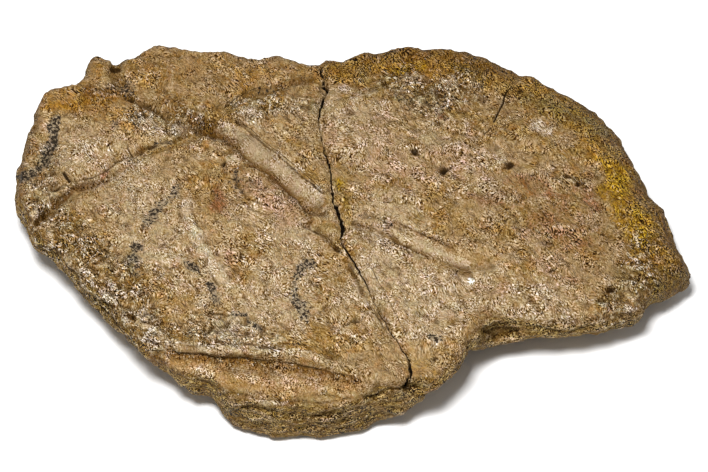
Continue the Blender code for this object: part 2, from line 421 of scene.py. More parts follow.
FURROW, CREASE, RIDGE, BANK, SPLIT = Section
OCHRE, OLIVE, PALE, ROSE, BROWN, MUSTARD, RUST, LIME, SOOT = Tint

# The long crack, from the back rim to the front wall: u, v, half width.
CRACK = (
    -10.6, 70.5, 0.24, -10.4, 67, 0.2, -10.2, 64, 0.2, -9.8, 61.3, 0.2, -9, 58.6, 0.3, -9.1, 56, 0.2,
    -9.6, 53, 0.2, -10.3, 50, 0.2, -10.9, 46, 0.22, -10.6, 43, 0.2, -10, 39, 0.22, -9, 34.5, 0.22,
    -8.1, 30.5, 0.17, -7.4, 26, 0.18, -7.1, 20, 0.14, -6.6, 16, 0.17, -6.2, 13, 0.24, -5.2, 10, 0.28,
    -4.4, 7, 0.2, -3.9, 4.6, 0.26, -3.5, 1.6, 0.32, -3.9, -1.5, 0.22, -3, -5, 0.28, -1.1, -8.5, 0.22,
    0.5, -12, 0.2, 2.4, -16, 0.17, 3.7, -19, 0.14, 4.8, -22, 0.13, 6, -26, 0.11, 8, -30.5, 0.1,
    10.3, -35.5, 0.1, 12.7, -40, 0.11, 14.6, -44, 0.14, 15.7, -47, 0.24, 16.4, -50, 0.3, 16.2, -52.5, 0.38,
    16, -54.6, 0.42, 15.8, -56.5, 0.38,
)

# Thin cracks: width, depth, dirt and painted shade, ease, then the marks.
HAIRLINES = lines(SPLIT,
    (0.15, 0.35, 0.85, 2, -39.1, 48.1, -35.3, 44.8, -31.5, 40.8, -26.5, 35.5, -21.5, 30.3, -16.5, 25.6,
     -11.6, 19.7, -7.3, 15),
    (0.13, 0.3, 0.7, 2, -41, 49.3, -38.6, 52.2, -35.5, 55, -31.9, 57.5, -28.1, 59.2),
    (0.13, 0.3, 0.7, 3, 3.9, -10.3, 7.1, -17.1, 10.6, -25.2, 14.1, -34, 16.4, -40.9),
    (0.24, 1, 1, 1, 50, 59.5, 48, 57.6, 46.9, 55, 46.6, 53, 45.4, 50, 44, 46.5, 43.2, 44.6),
    (0.26, 0.6, 0.7, 1.5, 43, 43.5, 41.8, 41.6, 40.3, 39.8, 40.1, 37.5),
    (0.42, 1, 1, 1, -89.2, 25.3, -88.4, 23.6, -87.2, 21.8, -86.2, 20.6),
    (0.2, 0.6, 0.8, 1, -69.9, 35.6, -69.2, 33.2, -68, 31.4, -67.2, 30))

# Grooves, creases, ridges and steps: width, depth, dirt and painted shade, ease, then the marks.
LINES = (
    # lower left edge: the thin rim over the wall, and the folds and flakes inside it
    *lines(RIDGE,
          (0.9, 0.7, 0, 4, -86.6, -8.1, -83.7, -12.6, -81.1, -17.1, -78.6, -23.4, -75.2, -26.7, -71.2, -30,
           -67.1, -35.9, -62.7, -42, -59.7, -45.6)),
    *lines(CREASE, (1.2, 1, 0.8, 4, -87.9, -6.5, -85.9, -11.1, -83.2, -16.3, -80.5, -21.5),
          (1.5, 1.2, 0.85, 4, -77.1, -24.9, -74.6, -27.8, -71.7, -31.1, -69.2, -34.8),
          (0.9, 0.9, 0.95, 2, -77.1, -19.7, -75.2, -20.4, -73.1, -21.2, -71.2, -23.4, -69.9, -26.3)),
    *lines(RIDGE, (1.2, 0.9, 0, 4, -74.9, -21.2, -73, -23, -70.9, -25.2)),
    *lines(CREASE, (1.1, 1, 0.9, 2, -69.4, -25.6, -66.9, -27.8, -65.3, -29.6, -64.9, -32.6),
          (0.9, 0.8, 0.75, 1.5, -63.2, -32.6, -61.5, -29.6, -59.2, -29.3, -57.3, -31.5, -58.1, -34)),
    *lines(RIDGE, (0.8, 0.7, 0, 1, -62.3, -32.2, -60.3, -30.7, -58.8, -32.2)),
    *lines(CREASE, (1, 0.9, 0.8, 2, -63.9, -35.9, -61.4, -38, -58.4, -40.2, -55.5, -39.8)),
    *lines(RIDGE, (0.7, 0.7, 0, 1, -61.1, -38.4, -58.5, -39.5)),
    *lines(CREASE, (0.9, 0.8, 0.9, 1, -55.1, -36.6, -53.5, -38, -54.1, -39.8),
          (0.8, 0.6, 0.6, 1.5, -67.5, -26.7, -65.2, -25.6, -62.8, -27.8),
          (0.9, 0.5, 0.5, 4, -71.6, -16.3, -68.8, -19.7, -64.3, -20, -59.9, -18.9)),
    # right groove: the crisp edge above it
    *lines(CREASE, (0.8, 0.7, 0.9, 4, 9.7, 6.1, 13.9, 4.1, 19.8, 1.1, 25.8, -2.7, 30.5, -6.2),
          (1, 0.7, 0.7, 4, -2.7, 6.8, 0.6, 4.9, 4.2, 3.4, 7.8, 1.5, 11.4, -0.5)),
    *lines(RIDGE, (2.3, 1.3, 0, 4, 5.4, 4.1, 10.8, 1.5, 16.8, -2, 22.7, -5.4, 29.3, -8.8)),
    *lines(CREASE, (0.9, 0.9, 0.95, 4, 9.6, 1.5, 15.9, -5, 22.7, -8.1, 28, -10.3, 33.9, -13.3),
          (1.1, 0.8, 0.8, 4, -2.7, 7.2, -0.6, 4.9, 3.6, 3.4, 7.2, 0.3)),
    # main vessel groove: rim, inner bank, and the smooth floor between them
    *lines(BANK,
          (2.2, 1.5, 0.55, 4, -41, 47.5, -38, 46, -34, 43, -30, 38.3, -25, 33, -20, 27.3, -15, 22, -11, 18,
           -6.8, 14.4)),
    *lines(CREASE,
          (0.8, 0.7, 0.75, 4, -38.5, 46.2, -34, 42.8, -30, 38, -25, 32.7, -20, 27.2, -15, 21.8, -11, 17.8,
           -7, 14.6)),
    *lines(BANK,
          (2.6, 2.2, 0.35, 5, -13, 6, -14.2, 10.2, -17.2, 14.2, -21, 19, -24.5, 23.4, -29, 27, -32.6, 30.2,
           -35.4, 33.2, -39.4, 36.8, -44.6, 39, -50, 39.8), ramp=3.4),
    *lines(FURROW, (5.2, 1.5, 0, 4, -38, 40, -31.4, 33.4, -24.6, 26.6, -18.6, 20, -13.6, 13.6, -10.4, 9)),
    *lines(RIDGE, (1.5, 0.35, 0, 4, -34, 40.5, -29, 35.5, -24, 30.5, -19, 25.5, -14.5, 20.5, -11, 15.5)),
    *lines(CREASE, (1.6, 0.9, 0.7, 4, -35, 27.5, -31, 26.8, -27.5, 25.4, -25, 23.4)),
    # its outlet and the groove that runs on beside the crack
    *lines(CREASE, (1.4, 1.8, 1, 1.5, -15.5, 4, -13.5, 4.4, -12.3, 5.6, -11.8, 7),
          (1.5, 1.1, 0.85, 4, -17, 5, -14, 3.2, -10.5, 1.4, -7.6, -1.6, -5, -5, -2.6, -9, -0.4, -13, 1.4,
           -17.5, 3, -21.8, 4.6, -25.6, 6.8, -29.6, 9, -34, 11, -37.5)),
    *lines(RIDGE,
          (1.3, 0.7, 0, 4, -11, 4.5, -7.5, 1, -5.2, -2.6, -3.4, -7, -1, -11.5, 1.2, -15.8, 2.9, -20, 5, -25),
          (1, 0.6, 0, 4, 5.2, -21, 7.4, -26.5, 9.8, -31, 12, -35)),
    *lines(CREASE, (1.4, 0.5, 0.25, 4, -9.5, 10, -8.2, 6, -6, 2.5)),
    # right vessel groove
    *lines(BANK,
          (2, 1.3, 0.9, 5, 35, -13.8, 33, -13, 30, -11.7, 25, -9.2, 20, -7.2, 15, -4.7, 10, -2.2, 5, 0.2),
          (1.8, 0.9, 0.25, 4, 2, 9.5, 7, 7, 12, 4.4, 16, 2.6, 20, 1.2, 25, -1.6, 30, -3.8, 36, -6)),
    *lines(FURROW, (3.4, 0.7, 0, 4, 11, 1.5, 17, -1.2, 24, -4.6, 31, -8, 38, -10.5, 44, -13)),
    *lines(CREASE,
          (0.7, 0.4, 0.55, 4, 12, 6, 15, 4.6, 18, 3.6), (1, 0.6, 0.8, 1.5, 14.5, -3, 17, -3.8, 19, -4),
          (0.8, 0.35, 0.4, 4, 34, -3.2, 36, -7, 38.5, -9.4, 41, -10.4),
          (0.9, 0.4, 0.35, 4, 36, -12.5, 39.5, -15, 42, -18, 45, -20)),
    # top groove and the valleys that run to the knob
    *lines(FURROW,
          (2, 0.7, 0, 4, -43, 48, -40.5, 50, -37, 53.2, -32, 55.8, -27, 57.4, -22, 59.2, -16, 62.2, -11,
           63.6)),
    *lines(CREASE, (0.9, 0.6, 0.6, 4, -40.5, 49.4, -37, 52, -32, 54.6, -27, 56.6, -22, 58.2, -16, 61.2),
          (1.5, 1.2, 0.6, 4, -82, 57, -78, 57.4, -73, 55.6, -70, 54.2, -66, 52.2, -62, 50, -58.5, 46.5, -56,
           43)),
    *lines(FURROW, (3.2, 1.2, 0.45, 4, -76.5, 69, -75.2, 66, -74, 61, -71, 56.5)),
    *lines(CREASE, (1.8, 1, 0.6, 4, -52.5, 47, -50.5, 43.5, -48.6, 40.6, -46.5, 41.5, -44, 44.5, -42, 47),
          (1.3, 0.8, 0.6, 4, -69, 52, -66, 48, -61, 44, -57, 40, -55.5, 36.5),
          (0.8, 0.5, 0.45, 4, -72, 44.5, -70, 40, -68.4, 36, -66, 38.5),
          (0.9, 0.5, 0.4, 4, -84, 52, -79, 51, -75, 47, -72, 42)),
    *lines(RIDGE, (1.1, 0.5, 0, 4, -47, 57, -45, 53, -44.5, 50)),
    # left creek: upper bank with its dark slot, and the lower bank
    *lines(BANK,
          (1.9, 1.5, 0.95, 4, -50, 40.2, -54, 36.6, -57, 35.8, -60, 36, -63, 33.6, -66, 31.6, -70, 29.6,
           -72.5, 28.2, -75, 25.6, -78, 23.4, -82, 21.6, -87, 20.2, -90, 17.8, -94.5, 16.4)),
    *lines(CREASE,
          (1.1, 1.5, 1, 4, -54, 36.4, -60, 35.6, -66, 31.2, -70, 29.3, -73, 27.4, -76, 24.6, -80, 22.2, -86,
           20.2, -90, 17.4, -95, 16.6)),
    *lines(FURROW,
          (2.3, 1.3, 0.2, 4, -73.8, 22.8, -77.4, 20.9, -81.6, 19.3, -85.8, 17.7, -89.2, 14.6, -92, 10.3,
           -94.1, 6.1)),
    *lines(BANK, (1.8, 1.2, 0.8, 4, -93.5, 6.5, -91.5, 11, -89, 15, -86, 18, -82, 19.4, -77.5, 19.6)),
    *lines(CREASE, (1.6, 1.5, 1, 1.6, -96.4, 3, -94.6, 6.8, -92.6, 10.8)),
    *lines(RIDGE, (1, 0.6, 0, 4, -93.6, 4, -92, 8, -90, 13)),
    *lines(CREASE, (0.9, 0.4, 0.4, 4, -84, 17, -80, 12, -77, 10),
          (1.6, 0.8, 0.35, 4, -92, 46, -91.6, 40, -92.6, 34, -94.5, 28, -97.5, 24.4, -101.5, 21.6)),
    # middle of the left field
    *lines(CREASE, (1, 1, 0.85, 2, -36.1, 26, -35.7, 21.2, -34, 17.3, -30.9, 13.8, -27.3, 12.3)),
    *lines(RIDGE, (1.3, 0.7, 0, 4, -34.8, 24.4, -32.9, 20.5, -29.8, 17.3, -25.5, 15.8)),
    *lines(CREASE, (0.9, 0.8, 0.6, 3, -37.7, 18.9, -35.2, 15, -32.1, 11.1, -27.8, 8.8, -23.6, 8),
          (1, 0.5, 0.35, 3, -28, 21.2, -24.9, 17.3, -21.2, 13.4, -18.1, 8),
          (1, 0.5, 0.3, 2, -27.2, 76.7, -27.7, 70.8, -26.4, 65),
          (1, 0.6, 0.45, 3, -70.3, 65.8, -63.9, 62.5, -58.3, 64.1, -53.2, 60.8),
          (0.9, 0.5, 0.4, 3, -51.3, 60, -46.4, 62.5, -40.7, 61.7, -36.4, 65),
          (1, 0.8, 0.8, 2, -36.4, 25.6, -36.2, 21.5, -35, 18, -32.4, 15.8)),
    *lines(RIDGE, (0.9, 0.5, 0, 4, -34, 16.8, -31, 14.6, -28, 13)),
    *lines(CREASE, (0.8, 0.6, 0.7, 4, -39, 13.4, -35, 13.8, -31, 13.4, -28.5, 12, -26.6, 9.6),
          (0.8, 0.4, 0.5, 4, -31, 22.6, -28, 22.8, -25.6, 20.6)),
    *lines(RIDGE,
          (2.3, 0.9, 0, 4, -51.5, 17, -50.4, 7, -48.1, 1.1, -46.2, -3.1, -43.6, -8.1, -40.8, -12.6, -38,
           -18.6), (1.3, 0.8, 0, 4, -44.5, 1.1, -41.9, -4.3, -38.8, -10.3, -35, -17.1)),
    *lines(CREASE, (1.1, 0.8, 0.5, 3, -53, 3.4, -51, -2, -48.4, -7.3, -45.8, -14.1, -42.7, -20),
          (0.9, 0.7, 0.6, 2, -60.9, -10.3, -56, -12.6, -50.7, -11.8, -46.4, -14.1),
          (1, 0.9, 0.7, 4, -46.6, 4, -44, -1, -41.4, -6, -38.8, -10.6),
          (1.2, 0.8, 0.75, 4, -45.8, -10, -43, -14, -40.6, -18, -38, -20.6)),
    *lines(RIDGE, (1.1, 0.7, 0, 4, -30.4, -19, -28, -23, -25.6, -27.6)),
    *lines(CREASE, (0.8, 0.5, 0.4, 4, -61, -3.6, -56, -4.2, -51, -3.2, -49.6, -5.6, -48.4, -9.6),
          (0.8, 0.6, 0.95, 2, -60, -16.6, -56, -14.8, -51.6, -13.2, -48, -11.4),
          (0.6, 0.4, 0.9, 1.5, -61, -4.6, -56, -4, -52.6, -3.6),
          (0.6, 0.4, 0.9, 1.5, -78.9, -8.1, -74, -8, -69.9, -8.6),
          (1.4, 0.5, 0.2, 4, -57.5, 9, -60, 5.5, -64, 2, -66, -3),
          (0.6, 0.4, 0.9, 0.6, -34, -8.2, -34.2, -5.6, -32.2, -4.6, -31, -5.6, -32.6, -7.6),
          (0.9, 0.8, 1, 2, -44, -28.5, -40, -29.4, -36, -30.2, -32.6, -29.2, -30.6, -31),
          (0.8, 0.6, 0.7, 1.2, -6.6, -34.6, -4, -33.8, -1.6, -32.6, 1, -31.4, 1.6, -33)),
    *lines(RIDGE, (0.7, 0.4, 0, 1, -6, -33.6, -3.6, -32.6, -1.4, -31.4)),
    # crumpled corner above the lower left wall
    *lines(CREASE, (1.2, 0.9, 0.6, 4, -79, -15, -76, -18, -72, -20, -69, -23.6, -67, -26.4),
          (1.5, 1.2, 0.9, 4, -69, -26, -66, -27, -64.4, -30, -65, -33.6)),
    *lines(RIDGE, (0.9, 0.7, 0, 4, -76.5, -21, -72, -23, -69.6, -26.4)),
    *lines(CREASE, (1.1, 0.8, 0.7, 4, -63.6, -30, -61, -33, -57.6, -33.6, -55, -35.6, -50, -35.8),
          (1.1, 0.8, 0.8, 4, -64, -36, -61.6, -38.8, -58, -40.4, -54, -39.6, -52.8, -37)),
    *lines(RIDGE, (0.9, 0.7, 0, 4, -63.4, -34.4, -60.6, -37, -57, -38.2)),
    *lines(CREASE, (0.8, 0.5, 0.5, 4, -60, -25.6, -57, -27.6, -54, -26),
          (1.2, 0.9, 0.85, 4, -44.6, -34, -43.2, -36.6, -41.6, -33.8, -40.4, -36.6, -38, -39)),
    *lines(RIDGE, (0.9, 0.5, 0, 4, -46, -29, -43, -31, -40, -33)),
    *lines(CREASE, (1.4, 0.8, 0.6, 4, -84, -2, -88, -5, -92, -5.4)),
    # the fold: furrow above it, its lip, and the crease under the lip
    *lines(CREASE,
          (1.5, 1, 0.6, 4, -43, -38.6, -39, -39.8, -35, -40.3, -30, -40.2, -26, -41.4, -22, -40.6, -17,
           -40.4, -12, -41.4, -8, -42.4, -4.6, -44.4)),
    *lines(RIDGE,
          (2.2, 1.5, 0, 4, -54, -41.6, -46, -42.8, -38, -42.8, -30, -43.4, -22, -44, -14, -44.8, -8, -47, -3,
           -49.4)),
    *lines(CREASE, (0.8, 0.55, 0.6, 4, -42, -42.6, -36, -43.6, -31, -43.8, -27, -44.6),
          (1.9, 1.2, 0.45, 8, -59, -43, -50, -44.3, -40, -45.8, -30, -47, -20, -48.1, -12, -49.8, -5, -51.6,
           1, -53, 7, -54.8), (1.5, 0.8, 0.8, 1.5, -7, -41.6, -5, -44, -4.4, -46)),
    # rim of the smooth shelf above the front wall, and the dark line under it
    *lines(CREASE,
          (1.9, 0.6, 0.15, 4, -31, -57.6, -27, -57.4, -24, -59.2, -20, -60.6, -16, -60.2, -12, -58.8, -8,
           -57.6, -5, -59.2, 0, -60.2, 5, -59.6, 9, -57.8, 13, -56)),
    *lines(RIDGE,
          (0.9, 0.5, 0, 4, -30, -56.4, -26, -56.6, -22, -58.8, -17, -59, -12, -57.4, -8.4, -56.2, -5, -57.8,
           0, -58.8, 5, -58.2, 9, -56.4)),
    *lines(CREASE, (1.2, 1, 0.6, 1.5, 1, -59.6, 6, -59, 9.6, -57.4, 12, -57),
          (1.3, 1, 0.8, 1.5, 10, -56.8, 13, -56.2, 16, -55.4, 19, -56.4, 22, -57.6)),
    # fibres right of the crack, and the front right corner
    *lines(CREASE, (0.55, 0.35, 0.8, 1, 15, -30, 17, -32.6, 19.4, -35.4),
          (0.55, 0.35, 0.8, 1, 19, -35.6, 17.4, -38, 15.6, -40),
          (0.55, 0.35, 0.6, 1, 19.6, -34, 22.6, -37.4, 24.4, -40.6),
          (0.7, 0.4, 0.7, 1, 23.6, -44, 26, -48, 28.4, -51.4),
          (0.7, 0.3, 0.35, 4, 5, -12, 8, -16.6, 10.4, -20.4), (0.7, 0.3, 0.3, 4, 7, -7, 11, -13, 13.4, -17),
          (1, 0.6, 0.5, 4, 38, -26, 37.4, -30, 38.6, -33)),
    *lines(BANK,
          (1.6, 0.6, 0.5, 8, -2.8, 50.1, 5.6, 48.5, 14.2, 44.8, 22.6, 42, 31.2, 40.8, 39.5, 38, 46.7, 33.5,
           52, 26.8), ramp=1.2),
    # right field: small scars, and the worn edge above the mustard patch
    *lines(CREASE,
          (0.6, 0.35, 0.8, 0.6, 30.4, 23.4, 32, 21.4), (0.9, 0.5, 0.5, 1, 28.6, 24.4, 30.6, 22.8, 33, 20.4),
          (0.5, 0.4, 0.85, 0.8, 24.4, 14.6, 25.6, 12.4, 27, 10.4),
          (0.6, 0.35, 0.35, 1, 28, 7.6, 29.2, 5, 30.2, 1.2),
          (0.5, 0.3, 0.6, 1, 35.6, 23.4, 37.6, 21, 39.6, 19.4),
          (1, 0.6, 0.45, 4, 60, 25, 63, 21.6, 66.4, 16.6, 70, 13, 73.6, 10)),
    *lines(RIDGE, (0.8, 0.4, 0, 4, 64.6, 22.6, 67.6, 18.6, 72, 15.6, 75, 13.4)),
    *lines(BANK, (1.6, 0.6, 0.15, 4, 75.4, 27, 76.4, 20, 76.2, 12, 78.4, 6, 81, 1.4, 84.6, -1.6, 87.6, -6)),
    *lines(CREASE, (1.5, 0.7, 0.5, 4, 20, 45.4, 25, 44.6, 30, 41, 34, 39.4, 39, 38.6),
          (1.1, 0.5, 0.5, 4, 13, 56, 14.4, 52, 17.4, 48.4, 20.6, 45.6),
          (0.7, 0.5, 0.8, 1, 23, 46.4, 25.6, 48.6, 28.6, 51.4),
          (0.7, 0.4, 0.7, 1, 21, 47.6, 23.4, 46, 26, 44.6),
          (1.1, 0.5, 0.4, 4, 2, 50, 7, 48.4, 10.4, 45.6, 10.8, 42),
          (1, 0.4, 0.35, 4, -6, 52.6, -2, 54.4, 3, 54.6, 7, 52.4, 9.4, 49.6),
          (1.2, 0.6, 0.5, 4, -5, 60.6, 0.6, 61, 2, 57, 5, 55),
          (0.9, 0.4, 0.4, 4, 38, 66.4, 42, 66, 44.6, 64.6), (0.9, 0.4, 0.35, 4, 54, 47.4, 52, 49, 53, 45.6),
          (0.7, 0.5, 0.7, 4, -16, 53.6, -14, 50, -12, 47.6, -10.8, 45.4),
          (1.6, 0.9, 0.75, 4, -14.6, 52.6, -12.6, 53.6, -10.4, 55.6),
          (0.7, 0.5, 0.85, 1, -8.6, 40.6, -6.6, 39.4, -6, 36.6, -7.6, 34.4),
          (0.7, 0.5, 0.85, 1, -3.2, 45.6, -2.6, 42.6, -3.4, 39.6, -5.4, 37.4),
          (0.7, 0.4, 0.6, 1, -9.4, 46.4, -6.4, 47.4, -4, 46.6),
          (0.6, 0.4, 0.8, 0.8, -6.8, 42.2, -5.2, 41, -5, 38.8),
          (0.8, 0.3, 0.3, 4, -34, 42, -30, 40.6, -27.4, 38.6),
          (1, 0.45, 0.4, 4, -30, 45.6, -24, 46.2, -18, 44.4, -13, 42.6),
          (0.7, 0.4, 0.6, 4, 50.6, -3.4, 52, -7, 54, -10, 56.4, -12.6)),
    *lines(RIDGE, (1.4, 0.7, 0, 4, 81, -19.6, 81.8, -24, 84, -27.4)),
    # back rim
    *lines(CREASE, (1.6, 0.6, 0.4, 4, -66, 74, -60, 71.6, -53, 71.8, -47, 70.4),
          (1.4, 0.6, 0.5, 4, -42, 71, -38, 69.4, -33, 69.8),
          (1.6, 0.6, 0.55, 4, 4, 70.4, 9, 69, 15, 69.4, 22, 71)),
    # beds of the front wall
    *lines(CREASE,
          (0.9, 0.8, 0.7, 4, -40.3, -59.8, -34, -58, -26.5, -60.1, -18.4, -59.1, -10.4, -61.6, -2.6, -60.1,
           5.2, -58.4),
          (0.9, 0.8, 0.75, 4, -37.3, -65.4, -29.9, -63.3, -20.7, -65, -12, -66.4, -3.4, -64.7, 4.6, -61.9),
          (0.8, 0.7, 0.6, 4, -31.5, -70.3, -22.3, -68.5, -14.3, -69.9, -5.7, -69.2, 0.6, -66.1)),
    *lines(RIDGE,
          (1.1, 0.8, 0, 4, -38.5, -62.3, -29.4, -61.6, -20.1, -61.9, -11.5, -64, -2.3, -62.3, 5.8, -59.8),
          (1.1, 0.8, 0, 4, -32.7, -67.5, -24.1, -66.4, -15.5, -67.8, -6.9, -67.1, 0.6, -64)),
    *lines(CREASE, (0.9, 0.7, 0.7, 2, -48.7, -50.6, -44.6, -53.4, -41.1, -54.9)),
    # rims and ledges of the lower right wall
    *lines(CREASE,
          (1.2, 0.9, 0.7, 4, 36.6, -38.4, 40, -35, 45, -33.2, 50, -34.4, 55, -35, 60, -36, 66, -35, 72,
           -33.2), (1.8, 1.6, 0.95, 2, 37.4, -39.4, 41, -38.6, 45, -38.4, 49, -37)),
)

# Pits and grains: u, v, length, breadth, depth, dirt and painted shade, and the turn where there is one.
SPOTS = (
    Spot(18.5, 32.6, 1.8, 1.2, 1.6, 1, -60), Spot(10, 32.9, 0.8, 1.6, 0.6, 0.55),
    Spot(27.8, 25, 1.3, 1.7, 1.5, 1, -20), Spot(26.2, 26.2, 1.6, 1.6, 0.6, 0.45, -25),
    Spot(47.9, 27.2, 1.3, 1.6, 1.2, 0.95), Spot(46.2, 27, 1.5, 1.5, 0.6, 0.5),
    Spot(65.2, 23.4, 1, 1, 0.8, 0.8), Spot(68.6, 20.7, 1.1, 1.3, 1.5, 1),
    Spot(70.4, 18.6, 0.8, 0.7, 0.7, 0.6), Spot(45.7, 5.2, 1, 0.8, 1, 0.9),
    Spot(59, -13, 1.1, 0.8, 0.9, 1, 30), Spot(76, -20.6, 1.6, 1.2, 1.6, 1, 35),
    Spot(72.6, -24.8, 0.9, 1.3, 0.9, 0.7), Spot(52.4, -25, 0.8, 0.8, 0.6, 0.7),
    Spot(57, -23.6, 0.5, 1.2, 0.5, 0.6, 30), Spot(21.5, -23.4, 0.6, 0.6, 0.7, 1),
    Spot(49, -0.6, 0.7, 0.7, 0.6, 0.6), Spot(17.8, 38.6, 0.8, 0.6, 0.6, 0.8),
    Spot(21.6, 31.2, 0.5, 0.4, 0.4, 0.8), Spot(15, -27, 0.5, 0.5, 0.4, 0.7),
    Spot(23.8, -45.8, 0.8, 0.6, 0.6, 0.8), Spot(-39.8, 27.8, 0.8, 1.1, 1.3, 1),
    Spot(-75, 66.6, 2, 1.4, 0.9, 0.9), Spot(-70, 54, 1.6, 1, 0.7, 0.9, -30),
    Spot(-33.6, -8, 1, 1.2, 0.6, 0.7), Spot(-15, 54.6, 1, 0.8, 0.6, 0.7), Spot(-9.4, 58, 1.2, 2.4, 0.8, 0.5),
    Spot(0.6, -32.4, 0.9, 0.9, 0.7, 0.7), Spot(16, -3.6, 1.3, 0.7, 0.5, 0.7, -20),
    Spot(-64, -6, 2.2, 3, 0.5, 0), Spot(-64.7, -31.5, 1.1, 1.2, 1.2, 1), Spot(-66.2, -30.7, 1, 1, 0.6, 0.6),
    Spot(-89.4, -7.3, 2.6, 1.4, 1, 0.5, -40), Spot(-82.7, -14.8, 2.6, 1.2, 0.8, 0.45, -50),
    Spot(-74, -26.7, 3.2, 1.4, 1, 0.5, -40), Spot(-69.5, -34.4, 2.6, 1.2, 0.8, 0.5, -45),
    Spot(52.6, 57.4, 1.6, 1, 0.7, 0.75), Spot(-2.2, 2, 1.2, 1.8, 0.3, 0.2),
    # cavities in the walls
    Spot(43.5, -36.4, 5.6, 1.9, 1.5, 0.5, 3), Spot(16.4, -56.8, 2.6, 0.8, 0.8, 0.7),
    Spot(-73, -27, 6, 2.4, 0.7, 0.35, -40),
    # raised grains and knobs
    Spot(-37, 28.6, 2.3, 1.8, -1.4, 0), Spot(34.7, -17.6, 1.1, 1.1, -0.6, 0), Spot(4.2, 37.2, 5, 5, -0.7, 0),
    Spot(-6.8, 42.4, 2.6, 3, -0.6, 0), Spot(-53.6, 43.6, 1.8, 2.6, -0.7, 0),
    Spot(-62.6, 43, 3.4, 3.2, -0.6, 0), Spot(-49, 31, 6, 3.4, -0.5, 0, -35), Spot(-79, 33, 9, 7, -0.6, 0),
    Spot(-62, 64, 8, 5, -0.5, 0), Spot(-76, 14, 8, 5, -0.5, 0), Spot(-31, 46.6, 5, 2.6, -0.5, 0, -30),
    Spot(61, 41.6, 1.6, 1.2, -0.4, 0), Spot(-21, -2.6, 3, 2.4, -0.35, 0), Spot(-4, 58, 3.6, 2.6, -0.5, 0),
    Spot(86.4, -7.6, 2.2, 2, -0.7, 0), Spot(60, -34.6, 3, 1.6, -0.5, 0),
)

